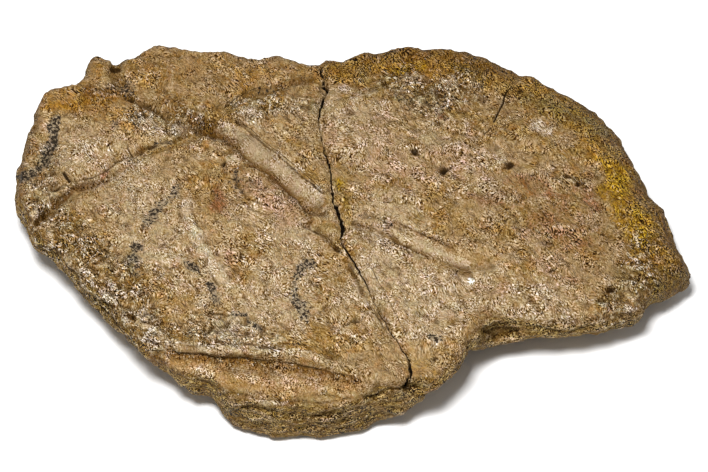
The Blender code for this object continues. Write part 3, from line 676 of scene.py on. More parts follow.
# Stains: reach, strength, softness, then the marks.
STAINS = (
    *stains(OCHRE,
        (8, 0.32, 6, -86.4, 50.1, -78.8, 46.9, -71, 39.6), (3.4, 0.75, 2.4, 9.4, 67.5, 17.6, 67.5, 28.2, 65),
        (4, 0.35, 4, 60.9, -24.5, 69.5, -28.2, 78.6, -24.5), (3, 0.5, 3, 86.1, 3.8, 89.2, -5.8, 92.2, -15.2),
        (2.2, 0.42, 1.6, -37.7, 42, -28.3, 32.3, -18.9, 21.2, -12.7, 13.4),
        (6, 0.6, 4.5, -96.5, 52.6, -90.4, 55.5, -81.6, 52.6, -71.9, 46),
        (8, 0.38, 6, -67.2, 65, -51.6, 67.5, -32.6, 64.1, -13.8, 64.1),
        (2.8, 0.9, 2.6, -95, 51, -86, 52.4, -78, 53, -71, 54), (3, 0.5, 3, -96, 9, -98, 6),
        (3, 0.5, 2.4, -80, 67, -80, 62), (1.4, 0.9, 1.4, -32.6, -63.4), (1.2, 0.8, 1.2, 20.6, -40.6),
        (1.8, 0.7, 1.8, -4, 61.4, 0, 61), (1.4, 0.55, 1.6, -15, 61.6, -11, 61.4),
        (1.4, 0.9, 1.4, -65.4, -31, -66, -33), (2.4, 0.4, 2.6, -83, 17, -78, 15.6),
        (2.2, 0.4, 2.6, -26, 45.4, -20, 44), (4, 0.35, 5, -60, -22, -50, -24, -45, -30),
        (3.4, 0.4, 3.4, 18, -50, 24, -52), (2.4, 0.3, 3, 33, -36, 37, -32), (2.4, 0.55, 2.6, 72, 36, 75, 32),
        (2.4, 0.4, 2.6, 54, 61, 60, 57.6), (3.4, 0.4, 4, 87, 0, 90, -8, 88, -14),
        (2.2, 0.35, 2.6, -44, 8, -42, -2, -37, -12, -31, -18)),
    *stains(OLIVE,
        (2.2, 0.5, 1.6, 72.7, -24.5, 76.3, -23, 80, -19.3), (1.4, 0.75, 1, -4.9, 21.2, -3, 15, -1.2, 8.8),
        (2, 0.6, 2, -14, 55, -12, 50), (1.4, 0.55, 1.6, -7, -7, -7.6, -9.6),
        (2.4, 0.5, 2.4, 7, 59, 13, 58.4), (3.4, 0.4, 4, 5, 53, 14, 53, 24, 55),
        (3.4, 0.45, 3.4, 55, 53, 64, 49, 72, 45, 77, 40), (4, 0.5, 4, 82, -15, 90, -18, 96, -15),
        # Olive along the shelf's rim in this row is painted shade below that rim.
        (3, 0.4, 3, -40, -57, -46, -54, -35, -59), (1.4, 0.4, 1.6, -14, -59.4, -4, -59.4, 6, -58.4),
        (1.6, 0.6, 1.6, -67, -6.6, -68, -10, -65.6, -13.4), (2.4, 0.35, 2.6, -88, 14, -94, 12),
        (3, 0.35, 3.6, 28, 64, 34, 66, 31, 62)),
    # Pale: pale patches of the bone, partly painted sheen, and painted highlight along ridge tops, the fold's
    # lip and the vessel grooves' upper banks.
    *stains(PALE,
        (7, 0.36, 6, -14.5, -25.2, -4.1, -29.6, 4.7, -34), (9, 0.22, 7, -39.7, 1.1, -25.1, -5.8),
        (0.8, 0.85, 0.7, -54.4, -39.8, -45, -40.9, -33.3, -42, -21.6, -42.7, -12.2, -43.8),
        (0.5, 0.7, 0.6, -38, -61.6, -29.4, -61.2, -20.1, -61.6),
        (0.5, 0.7, 0.6, -18.3, -67.1, -6.9, -66.8, -0.6, -64.3), (0.6, 0.8, 0.7, 24.5, 26.8, 26.3, 28.4),
        (0.8, 0.8, 0.8, 44.7, 28.8, 46.3, 29.9), (0.6, 0.9, 0.7, -62.3, -32.6, -59.2, -35.5, -56.8, -36.2),
        (0.6, 0.9, 0.7, -43.7, -36.2, -38.6, -37.7, -35.1, -36.9),
        (0.6, 0.9, 0.7, -74, -20.8, -71.5, -23.4, -69.6, -26),
        (1.4, 0.95, 1.2, -49.8, 6.4, -47.5, 1.1, -44.9, -4.6, -42, -11.1, -38, -18.6),
        (1.1, 0.95, 0.7, 17.1, -2, 22.8, -4.6, 28.1, -7.3, 33.4, -10.7),
        (1.6, 0.7, 1.2, 5.2, 40, 8, 36.3, 9.8, 33.5), (1.8, 0.7, 1.4, 56.9, 43.6, 59, 40.8),
        (1.8, 0.7, 1.4, -61.6, -6.5, -56.5, -8.1, -51.3, -10.3),
        (0.9, 1, 0.8, -74.9, -21.2, -72.7, -23.4, -70.9, -25.2), (0.6, 1, 0.6, -61.1, -38.4, -58.5, -39.5),
        (0.9, 0.8, 0.9, -62.3, -32.2, -60.3, -30.4, -58.2, -31.8),
        (0.4, 0.7, 0.6, -86.6, -8.1, -81.1, -17.1, -78.6, -23.4, -71.2, -30, -67.1, -35.9, -62.7, -42),
        (1.5, 1, 1.3, -51, 12, -50.1, 6.8, -48.1, 1.1, -46.2, -3.1, -43.6, -8.1, -40.8, -12.6, -38, -18.6),
        (1.6, 0.8, 1.6, -54, -14, -48, -16), (0.9, 0.6, 1.2, -63, -17, -58, -18),
        (1.6, 0.9, 1.3, -39, -33, -37.6, -36), (2, 0.6, 2.4, -22, 6, -18, 3), (0.8, 0.9, 0.8, -32.6, -10.4),
        (0.7, 0.8, 0.9, -30, -19.6, -28, -23.6, -25.8, -27.6), (1.8, 0.8, 2, -38, -34, -34, -33, -28, -35.4),
        (1.2, 1, 0.8, -45, -41.6, -42.6, -42.2), (1, 0.85, 1, -38, -41.6, -32, -42.4, -28, -42.4),
        (1.2, 0.55, 1.6, -27, -41, -22, -43, -15, -44, -9, -47.4), (1.4, 0.8, 1.4, -54.6, 44, -54, 41),
        (1.8, 0.55, 1.8, -63, 43.6, -60, 40), (2.4, 0.5, 2.8, -48.6, 34, -47, 31.6),
        (1.5, 1.3, 0.9, -37.2, 29), (2.4, 0.6, 2.4, 4, 38, 6.4, 36),
        (0.9, 0.6, 1.2, -23, 32, -20, 29, -16, 25),
        (0.9, 0.95, 1, -23.6, 29, -18, 23.8, -13.4, 18.6, -10.6, 14.6),
        (2.4, 0.95, 1.8, -40, 43, -35, 38.6, -29, 33, -23, 27, -17, 20.6, -12, 14),
        (1.2, 0.95, 1.2, 5.4, 4.1, 10.8, 1.5, 16.8, -2, 22.7, -5.4, 29.3, -8.8),
        (1.4, 0.45, 2, 40, -12, 44, -14.6, 48, -17), (1.8, 0.45, 2, 52, -3.4, 55, -4),
        (1.6, 0.65, 1.8, -3, 58, -1, 56.6), (1.4, 0.6, 1.6, -32, 49, -30, 47),
        (0.8, 0.8, 0.9, -33, 45, -29, 41.6), (1.6, 0.5, 1.8, -48, 50, -48, 47),
        (1.2, 0.6, 1.4, 44, 34, 45.6, 31.6), (1.4, 0.5, 1.4, 57, 41.8, 60.6, 42),
        (1.6, 0.4, 2, -64, 31, -62, 28),
        (0.8, 0.7, 1, -89.4, 33.6, -88.6, 31.4), (0.9, 0.7, 1, -96, -2.4, -95, -4),
        (0.7, 1, 0.8, -74, -22, -70.6, -24), (0.9, 0.7, 1.1, -73, -17, -71.6, -19.6),
        (0.9, 0.9, 0.9, -62.6, -29.4, -61, -31.6), (0.6, 0.9, 0.7, -63, -38.6, -60, -39.4),
        (0.9, 0.8, 0.9, -42, -35.6, -43, -38), (1.4, 0.6, 1.4, -43.6, -50.4, -42, -52),
        (2, 0.4, 2.2, -34, -50.6, -31, -52), (2.6, 0.4, 3, -22, -53, -12, -54.6),
        (0.7, 0.8, 0.8, 10, -31, 11.4, -34), (1.6, 0.6, 1.6, 42, -31, 44, -32),
        (0.8, 0.7, 0.9, -7, -62.6, -5, -62.6), (0.8, 0.7, 0.9, 47.6, -36.4),
        (12, 0.44, 7, -84, 34, -70, 20, -60, 2, -48, -16), (12, 0.44, 7, -25, 10, -16, -10, -24, -26),
        (12, 0.42, 7, 0, 46, 8, 30, 24, 34, 34, 26), (12, 0.52, 7, 8, 8, 14, -14, 22, -28),
        (6, 0.62, 5, 4.2, -10.3, 7.7, -24.5), (9, 0.46, 6, 30, -20, 46, -22, 58, -26)),
    *stains(ROSE,
        (4, 0.7, 3, -31, 18.1, -25.5, 13.4, -19.9, 8.8), (1.8, 0.7, 1.6, -7.4, 44, -6.4, 40, -8, 36),
        (2.4, 0.45, 2.4, 38, -20, 44, -21), (3, 0.4, 4, -24, -53, -12, -53.4), (4, 0.4, 5, 60, -3, 68, -6),
        (3, 0.35, 4, -86, 38, -80, 40), (3, 0.35, 4, -22, 4, -28, 8),
        (8, 0.48, 7, 34, 30, 20, 26, 8, 25, 10, 40), (6, 0.42, 6, 56, 0, 66, 6, 60, -10),
        (5, 0.3, 5, 34, 56, 30, 58)),
    *stains(BROWN,
        (7, 0.16, 5, -88, 45.2, -78.5, 41.2, -68.8, 33.1),
        (4, 0.3, 4, -1.3, 59.2, 8.1, 61.7, 20.6, 60, 36.2, 55, 51.5, 48.5),
        (1.6, 0.55, 2, -99.6, 33.1, -99.1, 45.2, -96.6, 53.4),
        (1.1, 0.6, 0.9, -74.4, 22.4, -79.8, 20.1, -85.8, 17.7, -90.4, 13.4, -93.6, 7.2),
        (3, 0.3, 3, -91.6, 53.4, -82.1, 50.9, -72.6, 46.9), (5, 0.28, 5, -54.8, 70, -39, 67.5, -23.2, 65.8),
        (0.8, 0.9, 0.8, 10.2, 2.2, 13.8, -3.1, 19.1, -6.2, 24.5, -8.8, 29.2, -11.8, 33.9, -14.1),
        (0.5, 0.7, 0.7, 9.7, 6.8, 16.3, 2.6, 24.6, -2, 32.3, -6.5), (1.7, 0.8, 1, 27.2, 24.4),
        (1.7, 0.8, 1, 47.7, 26.8), (2.6, 0.6, 1.2, 76.1, -20.8), (1.8, 0.7, 0.9, 68.3, 20.9),
        (1.3, 0.6, 0.8, 18.4, 32.3), (4.5, 0.4, 4, 52.1, 19.3, 59.6, 16.5, 68.5, 13.4, 74.1, 3.8),
        (5, 0.32, 5, 50.3, 11.5, 56, 3.8, 66.1, -5.8, 76.2, -13.3),
        (1.8, 0.85, 1.6, -100.1, 4.9, -92.2, -10.3, -82.6, -20.8, -73.2, -31.1, -63.9, -40.9, -56.4, -47),
        (3.5, 0.35, 3.5, -80.9, -4.3, -72.3, -20.8, -60.3, -24.5),
        (5, 0.45, 5, -90, 57, -75, 54, -58, 50, -47, 45), (6, 0.36, 6, -78, 66, -60, 66, -40, 64, -18, 62),
        (6, 0.4, 6, -4, 66, 15, 68, 40, 66), (9, 0.34, 8, 52, 18, 64, 10, 76, 0, 88, -14),
        (1.6, 0.9, 1.4, -83, 57.6, -76, 56.8, -70, 55), (2.6, 0.6, 2.4, -58, 52, -52, 49, -47, 45, -44, 43),
        (6, 0.45, 6, -60, 62, -50, 62, -40, 62), (3, 0.4, 4, -38, 24, -30, 18, -38, 12),
        (1.6, 0.6, 1.6, 10, -3.4, 18, -7, 26, -10.6, 33, -14), (3, 0.45, 3, -40, 71, -20, 69, -12, 68),
        (3.4, 0.7, 2.6, 5, 71, 20, 73, 35, 71, 46, 66), (3.4, 0.5, 3.4, 92, 20, 97, -4, 99, -16),
        (2.6, 0.45, 3, -101, 50, -102, 36, -101, 14), (3.4, 0.35, 3.4, 60, 22, 72, 22, 74, 16),
        (1.8, 0.6, 1.4, 8, -56.6, 16, -56, 20, -57)),
    # Painted shade: the main groove's lower bank, which turns away from the lamp, and the shadow under the
    # fold's lip.
    *stains(BROWN,
        (1.9, 1, 1.5, -45, 39.4, -40, 36.8, -34.4, 31, -28, 25.6, -22, 18.8, -17, 13, -14, 8),
        (1.1, 0.95, 1, -54, -44.6, -40, -46.6, -30, -47.8, -20, -49, -12, -50.6, -5, -52.4, 1, -53.8),
        ragged=0.5),
    *stains(MUSTARD,
        (3.4, 0.9, 2.2, 78.4, 17.3, 82.8, 8, 85.9, -1.2), (1, 0.7, 0.8, -4.9, 21.2, -3, 15, -1.2, 8),
        (3.2, 0.75, 2, 78.6, 21.2, 81.3, 13.4, 84.5, 7.2, 86, 1.1),
        (3.2, 1, 1.5, 80, 26, 80.4, 18, 80.6, 10, 82, 5.6), (1.6, 0.5, 2.4, 75.4, 31, 83, 22),
        (1.5, 0.55, 1.7, -3.6, 22, -3.4, 16, -2.4, 9, -1.2, 5), (1.6, 0.6, 1.6, 11, 66, 17, 66.6, 22, 67.8),
        (1.5, 0.7, 1, 21.6, 67.6), (1, 0.35, 1.5, 1.6, -4), (2, 0.3, 3, 17, -47, 24, -49, 20, -53),
        (1.6, 0.4, 2.4, 50, 19, 53, 15)),
    *stains(RUST,
        (2.2, 0.5, 2, 62.7, 18.9, 68.7, 16.5, 73.9, 11.1), (0.7, 1, 0.7, -75.4, 24.2, -76.6, 23.4),
        (1.6, 0.75, 1.8, -41.6, 19, -40.4, 14, -42, 10), (0.9, 0.55, 1.6, -36.6, -8, -36.4, -14),
        (1.2, 0.75, 1.4, 27, 46.6), (1.8, 0.55, 2.4, 36, 15, 39, 14, 42, 12),
        (3.4, 0.45, 4, 50, 20, 58, 17, 66, 12), (1.8, 0.55, 2.2, 64, -16.6, 67, -17.6),
        (0.8, 0.35, 1.2, -30, 28, -25, 24, -20, 17), (2, 0.4, 2.5, 86, 16), (1.4, 0.4, 1.8, 39, 4, 41, 2.6),
        (1, 0.5, 1.2, -78, 27), (3, 0.42, 4, 54, 8, 60, 2, 68, -2), (2, 0.28, 3, -36, -8, -35, -14)),
    *stains(LIME,
        (0.35, 0.42, 0.8, -48.8, 2.6, -46.5, -2, -44.2, -7.3, -42, -11.8)),
    *stains(LIME,
        (1, 1.6, 0.3, 34.7, -17.6), ragged=0.2),
    *stains(SOOT,
        (1.2, 0.45, 1, 0.6, 8, 4.8, 5.7, 9, 2.6), (0.9, 0.85, 0.9, -43.3, -18.2, -41.4, -21.5, -39.6, -25.6),
        (0.7, 0.8, 0.9, -32.4, -29.3, -30, -31.8, -27.6, -35.5),
        (0.3, 0.4, 0.7, -41, 49.3, -35.6, 55.5, -28.8, 58.8, -21.6, 61.7),
        (0.9, 0.6, 1.2, -75.6, 45.2, -72.9, 42), (0.8, 0.85, 0.8, -65.6, -10.3, -64.3, -13.3),
        (0.6, 0.7, 0.8, -22.7, -42.7, -18.7, -40.6, -15.8, -40.2),
        (1.5, 0.95, 1.2, -92, 45, -92.4, 38, -93.4, 33, -95, 27.6, -98, 23.6, -102, 21.4),
        (1, 0.85, 1.3, -53, 19.4, -55, 15.6, -58.4, 11, -61, 7.6, -63, 3), (2, 0.85, 1, -65.4, -4.8),
        (1.4, 0.7, 1.4, -66, -7, -65, -11, -63.6, -15), (1.6, 0.95, 0.9, -49.4, -11.6, -47.6, -12.4),
        (1.2, 0.75, 1.2, -42, -21, -40.6, -25, -39.6, -28),
        (0.9, 0.9, 0.8, -34.6, -29.8, -31.4, -30, -31, -33),
        (1.3, 0.8, 1.3, -11.9, -10.3, -14.6, -11.4, -16.7, -14.8, -17.5, -18.6, -17.5, -22.3, -16.2, -25.6,
         -14.7, -28.5, -14.4, -31.1), (0.7, 0.8, 0.8, 22.8, -38.4, 24.6, -39.8),
        (3, 0.3, 3.5, 14, 54, 20, 50, 28, 50), (0.8, 0.7, 0.8, -36.4, 24, -35.6, 18.4, -34, 17),
        (1.6, 0.45, 1.8, -68, 47, -66, 44), (2.4, 0.45, 2.4, -76, 60, -71, 58),
        (1.1, 0.45, 1.4, -60, 36, -57, 35.6, -70, 27.6), (2.2, 0.5, 2, -34, -65),
        (2.2, 0.4, 1.8, 5, 5, 9, 4.6), (1, 0.35, 1.4, -33, 55.6, -28, 57.2, -22, 59),
        (0.8, 0.4, 1.2, 40, 59.6, 39, 56), (0.7, 0.75, 0.8, -37.6, 20.6, -36, 17.6)),
)

# The natural margin: its rim as seen from the eye, and how far in its darker, smoother band goes.
MARGIN_RIM = (-2, 70, 4, 73.4, 18, 75.4, 30, 73.8, 40, 71.4, 50, 64, 60, 59.4, 70, 51, 80, 41, 86, 27, 92, 12,
              95, 0, 99, -14, 98.6, -20)
MARGIN_BAND = 10.0

# Places where the face is crumpled into small broken lumps: a reach, then the marks.
CRUMPLED = (
    (5, -87.4, 4.9, -80.4, -2.7, -72.7, -11.8, -63.8, -23.8), (7, -72, -20, -64, -32, -56, -38),
    (5, -92.8, -0.1, -83.2, -10.3, -75.3, -18.9, -66, -28.2, -55.3, -37.3), (5, -66, 46, -56, 44, -50, 46),
    (4.5, -43.8, -31.1, -34.9, -35.5, -25.1, -39.1), (4.5, -46, -36, -36, -38, -24, -41),
    (4.5, -94, 30, -96, 4, -90, -3), (5, 88, -4, 84, -20, 76, -30), (7, 14, 62, 24, 52, 34, 58),
    (4, -36, 50, -24, 50, -14, 50),
)

# The shelf above the front wall, where the bone's fibres end and stand across it.
SHELF = (-52, -48, -40, -51, -28, -53, -14, -55, -2, -57)
SHELF_REACH = 4.2


# ---------------------------------------------------------------- the fossil's mesh

def mean_of_neighbours(values: np.ndarray, edges: np.ndarray, rounds: int) -> np.ndarray:
    """Spread values along a mesh's edges until they are smooth.

    Args:
        values: one row for each vertex.
        edges: pairs of vertex numbers.
        rounds: how many times to spread.

    Returns:
        The smoothed rows.
    """
    count, pull = len(values), 0.6
    ends = np.concatenate([edges[:, 0], edges[:, 1]])
    others = np.concatenate([edges[:, 1], edges[:, 0]])
    degree = np.maximum(np.bincount(ends, minlength=count), 1)[:, None]
    for _ in range(rounds):
        around = np.column_stack([np.bincount(ends, weights=column[others], minlength=count)
                                  for column in values.T])
        values = (1.0 - pull) * values + pull * around / degree
    return values


def applied(piece: bpy.types.Object) -> None:
    """Turn a piece's modifiers into its mesh.

    Args:
        piece: what is changed.
    """
    bpy.context.view_layer.update()
    graph = bpy.context.evaluated_depsgraph_get()
    mesh = bpy.data.meshes.new_from_object(piece.evaluated_get(graph))
    piece.modifiers.clear()
    piece.data = mesh


def read_rows(elements: bpy.types.bpy_prop_collection, key: str, width: int = 3,
              kind: type = np.float32) -> np.ndarray:
    """Read numbers from a mesh.

    Args:
        elements: its vertices or edges.
        key: what is read from each.
        width: how many numbers each has.
        kind: what kind of numbers Blender keeps there.

    Returns:
        One row for each element.
    """
    found = np.empty(len(elements) * width, kind)
    elements.foreach_get(key, found)
    return found.reshape(-1, width)


def places_in(mesh: bpy.types.Mesh) -> np.ndarray:
    """Return a mesh's vertices in millimetres."""
    return read_rows(mesh.vertices, "co").astype(float) / MM


def normals_in(mesh: bpy.types.Mesh) -> np.ndarray:
    """Return a mesh's vertex normals."""
    return read_rows(mesh.vertices, "normal").astype(float)


def edges_in(mesh: bpy.types.Mesh) -> np.ndarray:
    """Return a mesh's edges as pairs of vertex numbers."""
    return read_rows(mesh.edges, "vertices", 2, np.int32)


def triangles_in(mesh: bpy.types.Mesh) -> int:
    """Return how many triangles a mesh comes to."""
    return sum(len(face.vertices) - 2 for face in mesh.polygons)


def write_mask(mesh: bpy.types.Mesh, name: str, values: np.ndarray) -> None:
    """Keep one number for each vertex, from 0 to 1, under a name that the finish reads."""
    layer = mesh.attributes.new(name, "FLOAT", "POINT")
    layer.data.foreach_set("value", np.clip(values, 0.0, 1.0).astype(np.float32))


@dataclass(frozen=True)
class Zones:
    """How far each vertex is broken wall, natural margin, shelf, crumpled face or rim that turns down from
    the face, from 0 to 1.
    """

    wall: np.ndarray
    margin: np.ndarray
    shelf: np.ndarray
    crumple: np.ndarray
    rim: np.ndarray


@dataclass
class FrillSlab:
    """The fossil: one slab of frill bone turned to stone."""

    name: str = "frill_bone"
    node: str = "frill"
    slot: str = "fossil_bone"
    body: str = "root"
    voxel: float = 0.60
    quick_voxel: float = 1.0
    polish_rounds: int = 12
    polish_strength: float = 0.5
    foot_rounds: int = 60
    foot_height: float = 4.5
    underside_tilt: float = -0.75
    underside_keep: float = 0.06
    triangle_budget: int = 192_000
    rim_rounds: int = 30
    fine_rounds: int = 3
    broad_rounds: int = 22
    fine_cavity: float = 0.24
    broad_cavity: float = 1.2
    fine_reaches: tuple[float, ...] = (1.9, 1.0)
    fine_facing: float = 0.05
    seen_from: float = 0.02
    seen_fade: float = 0.22
    wall_tilt: float = 0.66
    wall_fade: float = 0.36
    rim_tilt: float = 0.97
    rim_fade: float = 0.35
    rim_wander: float = 0.25
    margin_fade: float = 6.0
    margin_wander: float = 1.6
    margin_hold: float = 0.8
    shelf_fade: float = 3.0
    shelf_rise: float = 1.5
    ledge_reach: float = 8.0
    ledge_fade: float = 1.5
    ledge_end: float = 2.0
    crumple_wander: float = 1.5
    wander_cell: float = 3.2
    wander_bend: tuple[float, float] = (0.5, -0.4)
    bend: float = 0.25
    bend_cell: float = 1.1
    narrow_line: float = 0.9
    broadening: float = 1.1
    line_reach: float = 1.2
    bank_reach: float = 4.0
    patch_cell: float = 2.6
    patchy: Swing = Swing(0.62, 0.55, 0.12, 1.25)
    steady_cell: float = 8.0
    steady: Swing = Swing(0.9, 0.3, 0.5, 1.2)
    crack_depth: float = 3.0
    crack_shallow: float = 0.15
    crack_full: float = 0.6
    crack_wobble: float = 0.22
    crack_wobble_cell: float = 1.7
    crack_edge: float = 0.22
    crack_side: Swing = Swing(1.0, 0.22, 0.0, 2.0)
    crack_side_cell: float = 1.6
    crack_sides_apart: float = 7.0
    crack_lip: float = 0.25
    crack_lip_fade: float = 0.8
    crack_lip_full: float = 0.4
    crack_dark: Swing = Swing(0.55, 1.5, 0.0, 1.0)
    hairline_edge: float = 0.24
    smooth_furrow: float = 3.3
    smooth_reach: float = 1.25
    smooth_ends: float = 8.0
    spot_bend: float = 0.65
    spot_bend_cell: float = 1.3
    spot_dark_gain: float = 1.5
    spot_dark_from: float = 0.15
    drift: float = 1.2
    drift_cell: float = 9.0
    sag: float = 2.2
    sag_cells: tuple[float, ...] = (9.0, 9.0, 14.0)
    stir: float = 1.1
    lump_cell: float = 7.0
    knob_cell: float = 2.8
    grain_cell: float = 1.5
    broken_cell: float = 2.6
    broken: Swing = Swing(0.7, 1.2, 0.1, 1.6)
    broad_broken: float = 0.9
    broad_broken_cell: float = 4.4
    fibre_cells: tuple[float, ...] = (5.0, 1.25, 2.0)
    upright_cells: tuple[float, ...] = (1.1, 4.0, 4.0)
    bed_cells: tuple[float, ...] = (4.6, 4.6, 1.5)
    crease_cells: tuple[float, ...] = (6.5, 3.0, 3.0)
    creased: Swing = Swing(0.5, 1.4, 0.0, 1.3)
    crease_level: float = 0.7
    fibre_angle: float = -55.0
    lump_height: float = 0.60
    knob_height: float = 0.34
    fibre_height: float = 0.16
    grain_height: float = 0.06
    layer_height: float = 0.30
    upright_height: float = 0.12
    crumple_height: float = 0.60
    crease_height: float = 0.38
    margin_calm: float = 0.45
    table_gap: float = 0.4
    table_fade: float = 2.0
    table_grain: float = 0.25
    sight: Sight = Sight()

    def build(self) -> bpy.types.Object:
        """Make the slab, still without its finish.

        Returns:
            The finished piece.
        """
        piece = self.rounded_copy(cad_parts[self.node])
        self.thin_underside(piece)
        self.split_near_cracks(piece)
        self.carve(piece.data)
        self.keep_to_budget(piece)
        piece.data.shade_smooth()
        return piece

    def dress(self, piece: bpy.types.Object) -> None:
        """Put the bone's finish on the slab."""
        piece.data.materials.append(BoneFinish().material())

    def rounded_copy(self, source: bpy.types.Object) -> bpy.types.Object:
        """Copy the plain slab as an even mesh with its facets worn off.

        Args:
            source: the plain slab.

        Returns:
            The new piece.
        """
        piece = bpy.data.objects.new(self.name, source.data.copy())
        piece.data.name = self.name
        bpy.context.scene.collection.objects.link(piece)
        piece.data.materials.clear()
        even = piece.modifiers.new("even", "REMESH")
        even.mode = "VOXEL"
        even.voxel_size = self.voxel * MM
        even.adaptivity = 0.0
        worn = piece.modifiers.new("worn", "SMOOTH")
        worn.factor = self.polish_strength
        worn.iterations = self.polish_rounds
        applied(piece)
        self.round_foot(piece.data)
        return piece

    def round_foot(self, mesh: bpy.types.Mesh) -> None:
        """Wear the edge round the underside, so that the walls turn in before they meet the table.

        Args:
            mesh: the even mesh of the slab.
        """
        places = places_in(mesh)
        worn = mean_of_neighbours(places, edges_in(mesh), self.foot_rounds)
        share = eased((self.foot_height - places[:, 2]) / self.foot_height)[:, None]
        self.write_places(mesh, places + (worn - places) * share)

    def thin(self, piece: bpy.types.Object, chosen: np.ndarray, ratio: float) -> None:
        """Take vertices out of part of the mesh.

        Args:
            piece: what is thinned.
            chosen: which vertices may go.
            ratio: how much of the whole mesh stays.
        """
        group = piece.vertex_groups.new(name="chosen")
        group.add([int(i) for i in np.flatnonzero(chosen)], 1.0, "REPLACE")
        thin = piece.modifiers.new("thin", "DECIMATE")
        thin.vertex_group = group.name
        thin.vertex_group_factor = 1.0
        thin.ratio = ratio
        thin.use_collapse_triangulate = True
        applied(piece)
        piece.vertex_groups.clear()

    def thin_underside(self, piece: bpy.types.Object) -> None:
        """Take most vertices out of the flat underside, where there is little to show.

        Args:
            piece: the slab.
        """
        mesh = piece.data
        hidden = normals_in(mesh)[:, 2] < self.underside_tilt
        corners = np.array([polygon.vertices[0] for polygon in mesh.polygons])
        self.thin(piece, hidden, 1.0 - float(hidden[corners].mean()) * (1.0 - self.underside_keep))

    def keep_to_budget(self, piece: bpy.types.Object) -> None:
        """Take out the vertices that matter least, until the mesh is within its triangle budget.

        Args:
            piece: the carved slab.
        """
        places = places_in(piece.data)
        away = self.sight.facing(places, normals_in(piece.data)) < 0
        plain = (self.cracks_near(self.sight.marks_of(places)) > self.fine_reaches[0]) | away
        count = triangles_in(piece.data)
        log.info("%s: thinned from %d triangles", piece.name, count)
        self.thin(piece, plain, min(1.0, self.triangle_budget / count))

    def cracks_near(self, marks: np.ndarray) -> np.ndarray:
        """Measure how far each mark is from the nearest crack.

        Args:
            marks: the (u, v) of each vertex.

        Returns:
            One distance for each.
        """
        cracks = [rows_of(CRACK, 3)[:, :2]] + [rows_of(line.marks) for line in HAIRLINES]
        return np.min([near_line(marks, line).gap for line in cracks], axis=0)

    def split_near_cracks(self, piece: bpy.types.Object) -> None:
        """Cut the mesh finer beside the cracks, so that their edges are crisp.

        Args:
            piece: the slab.
        """
        for reach in self.fine_reaches:
            mesh = piece.data
            places = places_in(mesh)
            facing = self.sight.facing(places, normals_in(mesh))
            near = (self.cracks_near(self.sight.marks_of(places)) < reach) & (facing > self.fine_facing)
            body = bmesh.new()
            body.from_mesh(mesh)
            body.verts.ensure_lookup_table()
            edges = [edge for edge in body.edges if near[edge.verts[0].index] and near[edge.verts[1].index]]
            bmesh.ops.subdivide_edges(body, edges=edges, cuts=1, use_grid_fill=True)
            bmesh.ops.triangulate(body, faces=[face for face in body.faces if len(face.verts) > 3])
            body.to_mesh(mesh)
            body.free()
            mesh.update()

    def carve(self, mesh: bpy.types.Mesh) -> None:
        """Carve every groove, crack, pit and grain into the mesh, and keep the masks of its finish.

        Args:
            mesh: the even mesh of the slab.
        """
        places = places_in(mesh)
        normals = normals_in(mesh)
        edges = edges_in(mesh)
        marks = self.sight.marks_of(places)
        seen = eased((self.sight.facing(places, normals) - self.seen_from) / self.seen_fade)
        wander = rough_noise(marks / self.wander_cell, seed=5)
        zones = self.zones(marks, normals, edges, seen, wander)

        out, dirt_and_shade, smooth = self.lines_height(marks, wander)
        crack_out, crack = self.crack_height(marks)
        spot_out, spot_dirt_and_shade = self.spots_height(marks)
        height = self.relief(places, zones, smooth * seen) + seen * (out + spot_out + crack_out)
        moved = self.kept_inside(places + normals * height[:, None])
        self.write_places(mesh, moved)

        # This mask darkens the lines and pits with dirt and painted shade.
        masks = {"crack": crack * seen, "dirt_and_shade": np.maximum(dirt_and_shade, spot_dirt_and_shade) * seen, "smooth": smooth * seen}
        # These hollow measures darken the finish in hollows as painted shade and lighten it on crests as
        # painted highlight.
        for name, rounds, depth in (("fine_cavity", self.fine_rounds, self.fine_cavity),
                                    ("broad_cavity", self.broad_rounds, self.broad_cavity)):
            hollow = ((mean_of_neighbours(moved, edges, rounds) - moved) * normals).sum(axis=1)
            masks[name] = 0.5 + hollow / depth
        for tint in Tint:
            shares = [stain.share(marks, wander) for stain in STAINS if stain.tint is tint]
            masks[tint.value] = np.max(shares, axis=0) * seen
        for name, values in (masks | vars(zones)).items():
            write_mask(mesh, name, values)

    def zones(self, marks: np.ndarray, normals: np.ndarray, edges: np.ndarray, seen: np.ndarray,
              wander: np.ndarray) -> Zones:
        """Find which kinds of surface each vertex is on.

        Args:
            marks: the (u, v) of each vertex.
            normals: the outward direction of each.
            edges: the mesh's edges.
            seen: 1 where the eye sees the vertex, falling to 0 where it doesn't.
            wander: noise that makes the zones' edges ragged.

        Returns:
            The zones.
        """
        rim_gap = near_line(marks, rows_of(MARGIN_RIM)).gap + self.margin_wander * wander
        margin = eased(0.5 + (MARGIN_BAND - rim_gap) / self.margin_fade) * seen
        wall = eased((self.wall_tilt - normals[:, 2]) / self.wall_fade) * (1.0 - self.margin_hold * margin)
        middle = rows_of(SHELF)
        gap = near_line(marks, middle).gap
        rise = marks[:, 1] - np.interp(marks[:, 0], middle[:, 0], middle[:, 1])
        above = eased((rise + self.ledge_fade) / self.ledge_fade)
        wall *= 1.0 - above * eased(0.5 + (self.ledge_reach - gap) / self.ledge_end)
        shelf_reach = SHELF_REACH + self.shelf_rise * above
        shelf = eased(0.5 + (shelf_reach - gap) / self.shelf_fade) * seen * (1.0 - wall)
        gaps = [near_line(marks, rows_of(row[1:])).gap + self.crumple_wander * wander for row in CRUMPLED]
        crumple = np.max([eased(0.5 + (row[0] - gap) / row[0]) for row, gap in zip(CRUMPLED, gaps)], axis=0)
        crumple *= seen
        turned_away = mean_of_neighbours(normals, edges, self.rim_rounds)[:, 2]
        rim = eased((self.rim_tilt - turned_away) / self.rim_fade + self.rim_wander * wander)
        rim *= 1.0 - shelf
        return Zones(wall, margin, shelf, crumple, rim)

